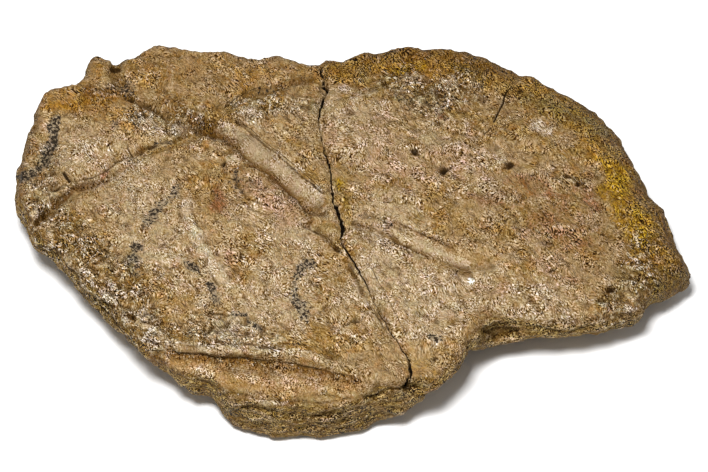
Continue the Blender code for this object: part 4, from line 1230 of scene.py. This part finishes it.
    def lines_height(self, marks: np.ndarray,
                     wander: np.ndarray) -> tuple[np.ndarray, np.ndarray, np.ndarray]:
        """Add up the grooves, banks, ridges and hairlines.

        Args:
            marks: the (u, v) of each vertex.
            wander: noise that bends each line a little.

        Returns:
            How far each vertex moves out, how dark it is with dirt and painted shade, and how smooth.
        """
        out, dirt_and_shade, smooth = np.zeros((3, len(marks)))
        bent = marks + np.column_stack([share * wander + self.bend * soft_noise(marks / self.bend_cell, seed)
                                        for share, seed in zip(self.wander_bend, (51, 52))])
        patchy = self.patchy.by(rough_noise(marks / self.patch_cell, seed=53))
        steady = self.steady.by(rough_noise(marks / self.steady_cell, seed=57, octaves=2))
        for line in LINES + HAIRLINES:
            split = line.section is Section.SPLIT
            curve = flowing(line.marks)
            reach = line.width * (self.bank_reach if line.section is Section.BANK else self.line_reach)
            low, high = curve.min(axis=0) - reach, curve.max(axis=0) + reach
            inside = np.flatnonzero(((bent > low) & (bent < high)).all(axis=1))
            near = near_line((marks if split else bent)[inside], curve)
            if split:
                share = near.ends(line.ease) * eased((line.width - near.gap) / self.hairline_edge + 0.5)
                out[inside] -= line.depth * share
                dirt_and_shade[inside] = np.maximum(dirt_and_shade[inside], line.dirt_and_shade * share)
                continue
            broad = min(max((line.width - self.narrow_line) / self.broadening, 0.0), 1.0)
            out[inside] += line.height(near) * (patchy + (steady - patchy) * broad)[inside]
            dirt_and_shade[inside] = np.maximum(dirt_and_shade[inside], line.darkness(near) * patchy[inside])
            if line.section is Section.FURROW and line.width > self.smooth_furrow:
                share = eased(self.smooth_reach - near.gap / line.width) * near.ends(self.smooth_ends)
                smooth[inside] = np.maximum(smooth[inside], share)
        return out, dirt_and_shade, smooth

    def crack_height(self, marks: np.ndarray) -> tuple[np.ndarray, np.ndarray]:
        """Open the long crack, wide in some places and a hair's width in others.

        Args:
            marks: the (u, v) of each vertex.

        Returns:
            How far each vertex moves out, and how much of it is inside the crack.
        """
        rows = rows_of(CRACK, 3)
        line = rows[:, :2]
        runs = np.concatenate([[0.0], np.cumsum(np.hypot(*np.diff(line, axis=0).T))])
        still = np.zeros(len(marks))
        level = np.column_stack([still, marks[:, 1] / self.crack_wobble_cell])
        wobble = self.crack_wobble * rough_noise(level, seed=31)
        near = near_line(marks + np.column_stack([wobble, still]), line)
        sides = np.column_stack([near.along / self.crack_side_cell, near.side * self.crack_sides_apart])
        half = np.interp(near.along, runs, rows[:, 2]) * self.crack_side.by(soft_noise(sides, seed=33))
        inside = eased((half - near.gap) / self.crack_edge + 0.5)
        past = np.maximum(near.gap - half, 0.0)
        lip = -self.crack_lip * np.exp(-past / self.crack_lip_fade) * eased(half / self.crack_lip_full)
        depth = self.crack_depth * np.clip(self.crack_shallow + half / self.crack_full, 0.0, 1.0)
        return -depth * inside + lip, inside * self.crack_dark.by(half)

    def spots_height(self, marks: np.ndarray) -> tuple[np.ndarray, np.ndarray]:
        """Sink the pits and raise the grains.

        Args:
            marks: the (u, v) of each vertex.

        Returns:
            How far each vertex moves out, and how dark it is with dirt and painted shade.
        """
        out, dirt_and_shade = np.zeros((2, len(marks)))
        bends = [rough_noise(marks / self.spot_bend_cell, seed=seed, octaves=2) for seed in (61, 67)]
        bent = marks + self.spot_bend * np.column_stack(bends)
        for spot in SPOTS:
            near = spot.nearness(bent)
            out -= spot.depth * near
            dirt_and_shade = np.maximum(dirt_and_shade, spot.dirt_and_shade * eased(near * self.spot_dark_gain - self.spot_dark_from))
        return out, dirt_and_shade

    def relief(self, places: np.ndarray, zones: Zones, smooth: np.ndarray) -> np.ndarray:
        """Give each kind of surface its own grain.

        Args:
            places: the vertices.
            zones: which kind of surface each is on.
            smooth: where the vessel grooves' floors are.

        Returns:
            How far each vertex moves out.
        """
        x, y, z = places.T
        along, across = turned(places, self.fibre_angle)
        drift = self.drift * rough_noise(places / self.drift_cell, seed=13, octaves=2)
        level = z + self.sag * rough_noise(places / self.sag_cells, seed=29, octaves=2)
        lumps = rough_noise(places / self.lump_cell, seed=11)
        knobs = rough_noise(places / self.knob_cell, seed=12, octaves=2)
        grain = rough_noise(places / self.grain_cell, seed=19, octaves=2)
        fibres = rough_noise(np.column_stack([along, across + drift, z]) / self.fibre_cells, seed=17)
        upright = rough_noise(places / self.upright_cells, seed=23)
        layers = rough_noise(np.column_stack([x, y, level]) / self.bed_cells, seed=37)
        stirred = places + self.stir * lumps[:, None]
        broken = 1.0 - 2.0 * np.abs(rough_noise(stirred / self.broken_cell, seed=41))
        broken += self.broad_broken * rough_noise(stirred / self.broad_broken_cell, seed=42)
        broken *= self.broken.by(knobs)
        drawn = np.column_stack([along + drift, across + drift, z]) / self.crease_cells
        creased = self.crease_level - 2.0 * np.abs(rough_noise(drawn, seed=43))
        creased *= self.creased.by(lumps)

        wall, shelf, calm = zones.wall, zones.shelf, 1.0 - 0.8 * smooth
        face = (1.0 - wall) * (self.lump_height * lumps * (1.0 - 0.5 * smooth)
                               + self.knob_height * knobs * calm * (1.0 - 0.5 * shelf)
                               + self.fibre_height * fibres * calm * (1.0 - shelf)
                               + self.grain_height * grain * calm
                               + self.upright_height * upright * shelf
                               + self.crease_height * creased * calm * (1.0 - shelf)
                               + self.crumple_height * broken * zones.crumple)
        side = wall * (self.layer_height * layers + 0.5 * self.lump_height * lumps
                       + self.knob_height * knobs + 2.5 * self.grain_height * grain)
        side *= 1.0 - self.margin_calm * zones.margin
        off_table = eased((z - self.table_gap) / self.table_fade)
        return (face + side) * (self.table_grain + (1.0 - self.table_grain) * off_table)

    def kept_inside(self, places: np.ndarray) -> np.ndarray:
        """Return places held inside the plain slab's box, and off the table."""
        low, high = (np.array(corner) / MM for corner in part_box(self.node))
        return np.clip(places, np.maximum(low, (low[0], low[1], 0.0)), high)

    def write_places(self, mesh: bpy.types.Mesh, places: np.ndarray) -> None:
        """Move a mesh's vertices to places in millimetres."""
        mesh.vertices.foreach_set("co", (places * MM).astype(np.float32).ravel())
        mesh.update()


# ---------------------------------------------------------------- the finish

@dataclass(frozen=True)
class Wire:
    """A value on its way through a finish. Sums and products of wires add Math nodes."""

    bench: "Bench"
    socket: bpy.types.NodeSocket

    def maths(self, operation: str, first: "Wire | float", second: "Wire | float") -> "Wire":
        """Return the wire that comes out of one Math node."""
        return self.bench.add("ShaderNodeMath", {"operation": operation}, {0: first, 1: second})

    def __add__(self, other: "Wire | float") -> "Wire":
        """Return this plus other."""
        return self.maths("ADD", self, other)

    def __radd__(self, other: float) -> "Wire":
        """Return other plus this."""
        return self.maths("ADD", other, self)

    def __sub__(self, other: "Wire | float") -> "Wire":
        """Return this less other."""
        return self.maths("SUBTRACT", self, other)

    def __rsub__(self, other: float) -> "Wire":
        """Return other less this."""
        return self.maths("SUBTRACT", other, self)

    def __mul__(self, other: "Wire | float") -> "Wire":
        """Return this times other."""
        return self.maths("MULTIPLY", self, other)

    def __rmul__(self, other: float) -> "Wire":
        """Return other times this."""
        return self.maths("MULTIPLY", other, self)

    def __pow__(self, other: float) -> "Wire":
        """Return this to the power of other."""
        return self.maths("POWER", self, other)

    def above(self, other: float) -> "Wire":
        """Return this or other, whichever is more."""
        return self.maths("MAXIMUM", self, other)

    def below(self, other: float) -> "Wire":
        """Return this or other, whichever is less."""
        return self.maths("MINIMUM", self, other)

    def step(self, low: float, high: float) -> "Wire":
        """Return 0 below low, 1 above high and a smooth rise between them. Low may be the higher one."""
        return self.bench.add("ShaderNodeMapRange", {"interpolation_type": "SMOOTHSTEP"},
                              {"Value": self, "From Min": low, "From Max": high})


class Bench:
    """Where one finish's nodes are put together."""

    def __init__(self, name: str) -> None:
        """Start a finish with an empty tree.

        Args:
            name: what the material is called.
        """
        self.material = bpy.data.materials.new(name)
        self.material.use_nodes = True
        self.tree = self.material.node_tree
        self.tree.nodes.clear()

    def add(self, kind: str, settings: dict, sockets: dict, out: int | str = 0) -> Wire:
        """Add one node.

        Args:
            kind: the node's type.
            settings: what is set on the node itself, before its sockets.
            sockets: values or wires for its inputs, by name or number.
            out: which output the wire starts from.

        Returns:
            The wire that comes out of it.
        """
        node = self.tree.nodes.new(kind)
        for key, value in settings.items():
            setattr(node, key, value)
        for key, value in sockets.items():
            if isinstance(value, Wire):
                self.tree.links.new(value.socket, node.inputs[key])
            else:
                node.inputs[key].default_value = value
        return Wire(self, node.outputs[out] if node.outputs else None)

    def add_output(self, skin: Wire) -> None:
        """Show a shader on the material's surface."""
        self.add("ShaderNodeOutputMaterial", {}, {"Surface": skin})

    def mask(self, name: str) -> Wire:
        """Return a mask that the mesh holds."""
        return self.add("ShaderNodeAttribute", {"attribute_name": name}, {}, "Fac")

    def mix(self, base: "Wire | Colour", over: "Wire | Colour", share: "Wire | float",
            kind: str = "MIX") -> Wire:
        """Lay one colour over another.

        Args:
            base: the colour underneath.
            over: the colour on top.
            share: how much of it shows.
            kind: how the two are put together.

        Returns:
            The mixed colour.
        """
        settings = {"data_type": "RGBA", "blend_type": kind, "clamp_factor": True}
        return self.add("ShaderNodeMix", settings, {0: share, 6: base, 7: over}, 2)

    def tinted(self, base: Wire, red: "Wire | float", green: "Wire | float", blue: "Wire | float") -> Wire:
        """Return a colour with its red, green and blue each multiplied."""
        factors = self.add("ShaderNodeCombineColor", {}, {0: red, 1: green, 2: blue})
        return self.mix(base, factors, 1.0, kind="MULTIPLY")

    def scaled(self, vector: Wire, factors: tuple[float, float, float]) -> Wire:
        """Return a vector with each coordinate multiplied."""
        return self.add("ShaderNodeVectorMath", {"operation": "MULTIPLY"}, {0: vector, 1: factors})

    def noise(self, places: Wire, cell: float, detail: float = 3.0, roughness: float = 0.55,
              stir: float = 0.0, shift: float = 0.0) -> Wire:
        """Add cloudy noise.

        Args:
            places: the coordinates it is read at, in millimetres.
            cell: the size of its largest clouds, in millimetres.
            detail: how many finer layers it has.
            roughness: how strong those are.
            stir: how much it is distorted.
            shift: how far the coordinates are moved on, which gives another pattern.

        Returns:
            Numbers from 0 to 1, mostly near 0.5.
        """
        if shift:
            places = self.add("ShaderNodeVectorMath", {"operation": "ADD"}, {0: places, 1: (shift,) * 3})
        return self.add("ShaderNodeTexNoise", {}, {"Vector": places, "Scale": 1.0 / cell, "Detail": detail,
                                                   "Roughness": roughness, "Distortion": stir})

    def threads(self, places: Wire, cell: float, width: float, stir: float, shift: float) -> Wire:
        """Add thin winding threads.

        Args:
            places: the coordinates they are read at.
            cell: how far apart they wind, in millimetres.
            width: how thick they are, as a share of the noise's range.
            stir: how much they are distorted.
            shift: how far the coordinates are moved on.

        Returns:
            1 along them and 0 between.
        """
        away = self.noise(places, cell, 1.5, 0.5, stir, shift) - 0.5
        return self.add("ShaderNodeMath", {"operation": "ABSOLUTE"}, {0: away}).step(width, 0.0)


class Patterns:
    """The masks and noises that the bone's finish is mixed from."""

    def __init__(self, bench: Bench, places: Wire, fibres: Wire) -> None:
        """Read the masks and lay out the noises.

        Args:
            bench: where the nodes go.
            places: the coordinates in millimetres.
            fibres: the same, drawn out along the bone's fibres.
        """
        self.bench = bench
        self.wall, self.margin, self.shelf = bench.mask("wall"), bench.mask("margin"), bench.mask("shelf")
        self.smooth, self.dirt_and_shade, self.crack = bench.mask("smooth"), bench.mask("dirt_and_shade"), bench.mask("crack")
        self.hollow, self.broad = bench.mask("fine_cavity"), bench.mask("broad_cavity")
        self.crumple, self.rim = bench.mask("crumple"), bench.mask("rim")
        self.stain = {tint: bench.mask(tint.value) for tint in Tint}
        self.calm = 1.0 - 0.5 * self.smooth
        self.face = (1.0 - self.wall) * (1.0 - self.shelf)
        flat = bench.scaled(places, (0.30, 0.30, 1.0))
        tall = bench.scaled(places, (1.0, 0.36, 0.36))
        self.clouds = bench.noise(places, 24.0)
        self.drift = bench.noise(places, 9.0, stir=1.0)
        self.blotches = bench.noise(places, 4.5, 4.0, 0.62, 0.8)
        self.mottle = bench.noise(fibres, 2.2, 3.0, 0.6, 0.6)
        self.hues = bench.noise(places, 3.2, 2.0, stir=0.8, shift=19.0)
        self.clots = bench.noise(places, 0.80, 2.5, 0.5, 0.6)
        self.folds = bench.noise(places, 1.8, 1.5, 0.5, 1.6, 71.0)
        self.streaks = bench.noise(flat, 1.6, 4.0, 0.65)
        self.beds = bench.noise(flat, 3.0, 2.0, stir=0.8, shift=41.0)
        self.rough = 0.45 + 1.1 * bench.noise(places, 5.0).step(0.42, 0.60)
        self.wrinkles = (bench.noise(fibres, 0.35, 1.5, 0.5, 0.4) * self.face
                         + bench.noise(flat, 0.42, 1.5, 0.5, 0.6) * self.wall
                         + bench.noise(tall, 0.42, 1.5, 0.5, 0.3) * self.shelf * (1.0 - self.wall))
        self.specks = (bench.noise(fibres, 0.28, 0.0, shift=5.0) * self.face
                       + bench.noise(places, 0.36, 0.0) * (1.0 - self.face))
        self.pores = (self.specks + 0.3 * (self.blotches - 0.5) + 0.3 * (self.mottle - 0.5)).step(0.25, 0.17)
        self.seams = (bench.threads(fibres, 2.8, 0.020, 1.0, 31.0) * self.face
                      + bench.threads(flat, 1.3, 0.05, 1.0, 31.0) * self.wall)
        self.strands = bench.threads(flat, 1.7, 0.06, 1.8, 11.0) * self.wall
        curled = 0.50 + 0.50 * self.crumple
        self.dark_curls = bench.threads(fibres, 2.6, 0.030, 1.4, 57.0) * curled
        self.pale_curls = bench.threads(fibres, 2.1, 0.032, 1.4, 83.0) * curled


@dataclass(frozen=True)
class BoneFinish:
    """Bone turned to golden-brown stone, satin and speckled, with mineral stains, dirt and painted shade in
    its hollows and painted highlight on its crests.
    """

    golden: Colour = (0.220, 0.125, 0.033, 1.0)
    tan: Colour = (0.278, 0.181, 0.079, 1.0)
    cream: Colour = (0.360, 0.250, 0.130, 1.0)
    umber_and_shade: Colour = (0.094, 0.043, 0.006, 1.0)
    # The broken walls' colours are darker than the face partly as painted shade.
    side: Colour = (0.122, 0.060, 0.003, 1.0)
    side_pale: Colour = (0.265, 0.165, 0.045, 1.0)
    band: Colour = (0.158, 0.077, 0.005, 1.0)
    shelf: Colour = (0.275, 0.155, 0.052, 1.0)
    grime_and_shade: Colour = (0.030, 0.013, 0.002, 1.0)
    gap_shadow: Colour = (0.004, 0.002, 0.001, 1.0)
    crest_highlight: Colour = (0.440, 0.335, 0.195, 1.0)
    soot: Colour = (0.016, 0.011, 0.007, 1.0)
    ash: Colour = (0.200, 0.165, 0.118, 1.0)
    rust: Colour = (0.155, 0.050, 0.014, 1.0)
    ochre: Colour = (0.265, 0.122, 0.012, 1.0)
    mustard: Colour = (0.225, 0.115, 0.004, 1.0)
    olive: Colour = (0.100, 0.074, 0.018, 1.0)
    pale: Colour = (0.410, 0.312, 0.192, 1.0)
    rose: Colour = (0.285, 0.165, 0.085, 1.0)
    brown: Colour = (0.098, 0.042, 0.005, 1.0)
    lime: Colour = (0.720, 0.690, 0.600, 1.0)
    fibre_angle: float = -55.0
    fibre_warp: float = 7.0
    fibre_warp_scale: float = 0.11
    fibre_stretch: tuple[float, float, float] = (0.46, 1.0, 0.8)
    roughness: float = 0.34
    specular: float = 0.07
    patch_gloss: float = 0.8
    dirt_dull: float = 0.25
    crack_dull: float = 0.4
    slant_dull: float = 0.5
    glint_coat: float = 0.35
    glint_cell: float = 0.5
    glint_roughness: float = 0.16
    sheen_tint: Colour = (1.0, 0.84, 0.62, 1.0)
    stain_cover: float = 0.9
    wall_cover: float = 0.8
    band_cover: float = 0.8
    rim_shade_cover: float = 0.75
    shelf_cover: float = 0.7
    seam_cover: float = 0.55
    curl_cover: float = 0.75
    strand_cover: float = 0.8
    pore_cover: float = 0.85
    dirt_and_shade_cover: float = 0.85
    ash_cover: float = 0.5
    soot_cover: float = 0.96
    wrinkle_lift: float = 3.2
    mottle_lift: float = 0.9
    speck_lift: float = 4.2
    lift_share: float = 0.35
    wrinkle_bump: float = 0.10
    mottle_bump: float = 0.26
    speck_bump: float = 0.02
    seam_bump: float = 0.08
    pore_bump: float = 0.05
    curl_bump: float = 0.16
    fold_bump: float = 0.35
    crumple_bump: float = 1.1
    strand_bump: float = 0.15
    redness: float = 0.30
    darkest: float = 0.12
    dark_powers: tuple[float, float, float] = (2.2, 2.9, 5.0)
    light_powers: tuple[float, float, float] = (2.2, 2.6, 3.7)

    def material(self) -> bpy.types.Material:
        """Put the finish together.

        Returns:
            Its material.
        """
        bench = Bench("fossil_bone_stone")
        places = bench.add("ShaderNodeVectorMath", {"operation": "SCALE"},
                           {0: bench.add("ShaderNodeTexCoord", {}, {}, "Object"), "Scale": 1.0 / MM})
        patterns = Patterns(bench, places, self.fibre_places(bench, places))
        glints = self.glint_coat * bench.noise(places, self.glint_cell, 1.0).step(0.63, 0.75)
        normal = bench.add("ShaderNodeBump", {},
                           {"Strength": 1.0, "Distance": MM, "Height": self.grain(patterns)})
        skin = bench.add("ShaderNodeBsdfPrincipled", {},
                         {"Base Color": self.colour(patterns), "Roughness": self.gloss(patterns, places),
                          "Normal": normal, "Specular IOR Level": self.specular,
                          "Specular Tint": self.sheen_tint, "Coat Weight": glints,
                          "Coat Roughness": self.glint_roughness})
        bench.add_output(skin)
        return bench.material

    def fibre_places(self, bench: Bench, places: Wire) -> Wire:
        """Draw coordinates out along the bone's fibres.

        Args:
            bench: where the nodes go.
            places: the coordinates in millimetres.

        Returns:
            The stretched coordinates.
        """
        stirred = bench.add("ShaderNodeTexNoise", {}, {"Vector": places, "Scale": self.fibre_warp_scale,
                                                       "Detail": 2.0}, "Color")
        drift = bench.add("ShaderNodeVectorMath", {"operation": "MULTIPLY_ADD"},
                          {0: stirred, 1: (self.fibre_warp,) * 3, 2: places})
        level = bench.add("ShaderNodeVectorRotate", {"rotation_type": "Z_AXIS"},
                          {"Vector": drift, "Angle": -math.radians(self.fibre_angle)})
        return bench.scaled(level, self.fibre_stretch)

    def grain(self, p: Patterns) -> Wire:
        """Raise and sink the finest relief.

        Args:
            p: the patterns.

        Returns:
            The height that drives the bump, in millimetres.
        """
        return ((p.wrinkles - 0.5) * self.wrinkle_bump * p.rough + (p.mottle - 0.5) * self.mottle_bump
                + (p.specks - 0.5) * self.speck_bump - p.seams * self.seam_bump - p.pores * self.pore_bump
                + (p.pale_curls - p.dark_curls) * self.curl_bump
                + (p.folds - 0.5) * (self.fold_bump + self.crumple_bump * p.crumple)
                + p.strands * self.strand_bump) * p.calm

    def colour(self, p: Patterns) -> Wire:
        """Build the colour from its clouds down to its grain, with painted shade in hollows and painted
        highlight on crests.

        Args:
            p: the patterns.

        Returns:
            The colour.
        """
        mix = p.bench.mix
        tanned = (p.clouds + 0.9 * (p.drift - 0.5)).step(0.38, 0.60)
        colour = self.ground(p, tanned)
        for tint in Tint:
            if tint is not Tint.SOOT:
                edge = p.stain[tint] + ((p.mottle - 0.5) * 0.8 + (p.specks - 0.5) * 0.8) * self.here(p, tint)
                colour = mix(colour, getattr(self, tint.value), self.stain_cover * edge.step(0.08, 0.95))
        colour = mix(colour, self.broken_side(p), self.wall_cover * p.wall)
        # Painted shade, with grime, in the small hollows of the carved relief.
        colour = mix(colour, self.grime_and_shade,
                     (0.5 + 0.2 * p.crumple) * p.hollow.step(0.66, 1.05) * (1.0 - 0.6 * p.smooth))
        # Painted highlight on the small crests of the carved relief.
        colour = mix(colour, self.crest_highlight,
                     (0.2 + 0.6 * p.crumple) * p.hollow.step(0.38, 0.05) * (1.0 - 0.7 * p.margin))
        # Painted shade in the broad hollows, such as under the fold's lip.
        colour = mix(colour, self.umber_and_shade,
                     0.5 * p.broad.step(0.56, 0.95) * (1.0 - 0.8 * p.smooth) * (1.0 - p.shelf))
        colour = mix(colour, self.grime_and_shade, self.seam_cover * p.seams * p.calm)
        # Painted shade along the dark curls, which the bump sinks.
        colour = mix(colour, self.grime_and_shade, self.curl_cover * p.dark_curls * p.calm)
        # Painted highlight along the pale curls, which the bump raises.
        colour = mix(colour, self.crest_highlight,
                     self.curl_cover * p.pale_curls * p.calm * (1.0 - p.wall) * (1.0 - 0.6 * p.margin))
        colour = mix(colour, self.side_pale, self.strand_cover * p.strands)
        colour = self.sprinkled(p, colour, tanned)
        colour = mix(colour, self.grime_and_shade, self.pore_cover * p.pores * (1.0 - p.smooth))
        colour = self.sooted(p, colour)
        # Dirt and painted shade along the lines and in the pits.
        colour = mix(colour, self.grime_and_shade, self.dirt_and_shade_cover * (p.dirt_and_shade + 0.8 * (p.mottle - 0.5)).step(0.15, 0.95))
        # Painted shadow inside the crack and in the darkest pits and creases.
        return mix(colour, self.gap_shadow, p.crack.step(0.2, 0.8) + 0.6 * p.dirt_and_shade.step(0.78, 1.0))

    def ground(self, p: Patterns, tanned: Wire) -> Wire:
        """Mix the colour of the face before it is stained.

        Args:
            p: the patterns.
            tanned: where it is tan and not golden.

        Returns:
            The colour.
        """
        mix = p.bench.mix
        warm = 0.5 * (p.drift + p.hues)
        cloudy = p.blotches + 0.3 * (p.mottle - 0.5)
        colour = mix(self.golden, self.tan, tanned)
        colour = mix(colour, self.rose, 0.5 * warm.step(0.53, 0.64))
        colour = mix(colour, self.ochre, 0.32 * warm.step(0.47, 0.36))
        colour = mix(colour, self.cream, 0.55 * cloudy.step(0.53, 0.72))
        colour = mix(colour, self.umber_and_shade, 0.42 * cloudy.step(0.45, 0.28))
        colour = mix(colour, self.band, self.band_cover * p.margin)
        # Darker umber where the face turns down from straight up: partly weathering, partly painted shade.
        colour = mix(colour, self.umber_and_shade, self.rim_shade_cover * p.rim * (1.0 - p.wall))
        return mix(colour, self.shelf, self.shelf_cover * p.shelf)

    def broken_side(self, p: Patterns) -> Wire:
        """Mix the colour of the broken walls, in level beds, darker than the face partly as painted shade.

        Args:
            p: the patterns.

        Returns:
            The colour.
        """
        side = p.bench.mix(self.side, self.side_pale, p.streaks.step(0.45, 0.72))
        side = p.bench.mix(side, self.umber_and_shade, 0.55 * p.beds.step(0.50, 0.38))
        return p.bench.mix(side, self.side_pale, 0.5 * p.beds.step(0.55, 0.66))

    def sprinkled(self, p: Patterns, colour: Wire, tanned: Wire) -> Wire:
        """Lighten the colour where the fine relief rises and darken it where it dips, more golden where it is
        darker: speckled tone with painted highlight and shade.

        Args:
            p: the patterns.
            colour: what is sprinkled.
            tanned: where the ground is tan.

        Returns:
            The sprinkled colour.
        """
        strong = p.rough * (1.22 - 0.45 * tanned + 1.3 * p.wall + 1.9 * p.margin + 0.3 * p.crumple
                            - 0.25 * p.stain[PALE] + 1.2 * p.stain[BROWN] + 0.9 * p.stain[RUST]
                            + 0.3 * p.stain[ROSE])
        lift = ((p.wrinkles - 0.5) * self.wrinkle_lift + (p.mottle - 0.5) * self.mottle_lift
                + (p.specks - 0.5) * self.speck_lift) * strong * self.lift_share * p.calm
        level = 1.0 + lift - 0.45 * lift * lift
        dark = level.above(self.darkest).below(1.0)
        light = level.above(1.0)
        factors = [dark ** low * light ** high for low, high in zip(self.dark_powers, self.light_powers)]
        return p.bench.tinted(p.bench.tinted(colour, *factors), 1.0, 1.0 + self.redness * (p.hues - 0.5), 1.0)

    def here(self, p: Patterns, tint: Tint) -> Wire:
        """Return 1 wherever a tint has left some stain."""
        return p.stain[tint].step(0.0, 0.25)

    def sooted(self, p: Patterns, colour: Wire) -> Wire:
        """Smudge the colour with ash and clotted soot.

        Args:
            p: the patterns.
            colour: what it is laid over.

        Returns:
            The smudged colour.
        """
        stain, here = p.stain[SOOT], self.here(p, SOOT)
        edge = 0.8 * stain + ((p.mottle - 0.5) * 1.4 + (p.clots - 0.5) * 4.2) * here
        dust = (stain + (p.mottle - 0.5) * here).step(0.2, 0.85)
        dusted = p.bench.mix(colour, self.ash, self.ash_cover * dust)
        return p.bench.mix(dusted, self.soot, self.soot_cover * edge.step(0.54, 0.78))

    def gloss(self, p: Patterns, places: Wire) -> Wire:
        """Set the roughness: satin, glossier in patches and dull in dirt and cracks.

        Args:
            p: the patterns.
            places: the coordinates in millimetres.

        Returns:
            The roughness.
        """
        patches = p.bench.noise(places, 2.0)
        slant = p.bench.add("ShaderNodeLayerWeight", {}, {"Blend": 0.5}, "Facing").step(0.45, 0.85)
        return (self.roughness + (0.5 - patches) * self.patch_gloss
                + (p.dirt_and_shade * self.dirt_dull + p.crack * self.crack_dull + slant * self.slant_dull))


# ---------------------------------------------------------------- table, lamp and camera

@dataclass(frozen=True)
class Studio:
    """A plain white table under one soft lamp, and the camera. The table and the lamp are in metres."""

    table_size: float = 8.0
    table_white: Colour = (0.90, 0.90, 0.90, 1.0)
    table_roughness: float = 0.6
    air_strength: float = 0.29
    lamp_place: tuple[float, float, float] = (-0.08, -0.21, 0.70)
    lamp_size: float = 0.19
    lamp_power: float = 7.65
    lens: float = 151.8
    sensor: float = 36.0
    picture_width: float = 708.0
    picture_drop: float = 7.0
    clip_start: float = 0.01

    def build(self, sight: Sight) -> None:
        """Put up the table, the lamp, the air and the camera.

        Args:
            sight: where the camera stands and what it looks at.
        """
        self.lay_table()
        self.hang_lamp()
        self.light_air()
        self.set_camera(sight)
        bpy.context.scene.view_settings.view_transform = "Standard"

    def lay_table(self) -> None:
        """Lay the white table that the slab rests on."""
        mesh = bpy.data.meshes.new("table")
        body = bmesh.new()
        bmesh.ops.create_grid(body, x_segments=1, y_segments=1, size=self.table_size / 2)
        body.to_mesh(mesh)
        body.free()
        bench = Bench("table_white")
        bench.add_output(bench.add("ShaderNodeBsdfPrincipled", {},
                                   {"Base Color": self.table_white, "Roughness": self.table_roughness}))
        mesh.materials.append(bench.material)
        table = bpy.data.objects.new("table", mesh)
        bpy.context.scene.collection.objects.link(table)

    def placed(self, name: str, data: bpy.types.ID, place: Vector, aim: Vector) -> bpy.types.Object:
        """Put a thing in the scene and turn it to its aim.

        Args:
            name: what the thing is called.
            data: its light or camera.
            place: where it is, in metres.
            aim: what it points at.

        Returns:
            The thing.
        """
        thing = bpy.data.objects.new(name, data)
        thing.location = place
        thing.rotation_euler = (aim - place).to_track_quat("-Z", "Y").to_euler()
        bpy.context.scene.collection.objects.link(thing)
        return thing

    def hang_lamp(self) -> None:
        """Hang the lamp and turn it to the slab."""
        data = bpy.data.lights.new("top_lamp", "AREA")
        data.size = self.lamp_size
        data.energy = self.lamp_power
        self.placed("top_lamp", data, Vector(self.lamp_place), Vector())

    def light_air(self) -> None:
        """Fill the air with even white light."""
        world = bpy.data.worlds.new("air")
        world.use_nodes = True
        background = world.node_tree.nodes["Background"]
        background.inputs["Color"].default_value = (1.0, 1.0, 1.0, 1.0)
        background.inputs["Strength"].default_value = self.air_strength
        bpy.context.scene.world = world

    def set_camera(self, sight: Sight) -> None:
        """Stand the camera at the eye, looking at its aim.

        Args:
            sight: where the eye and its aim are.
        """
        data = bpy.data.cameras.new("camera")
        data.lens = self.lens
        data.sensor_width = self.sensor
        data.shift_y = self.picture_drop / self.picture_width
        data.clip_start = self.clip_start
        camera = self.placed("camera", data, Vector(sight.eye()) * MM, Vector(sight.aim) * MM)
        bpy.context.scene.camera = camera


def main() -> None:
    """Build the slab and the studio in order."""
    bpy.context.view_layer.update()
    slab = FrillSlab()
    piece = slab.build()
    slab.dress(piece)
    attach(piece, slab.body)
    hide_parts(slab.node)
    log.info("%s: %d triangles", piece.name, triangles_in(piece.data))
    Studio().build(slab.sight)


if __name__ == "__main__":
    main()
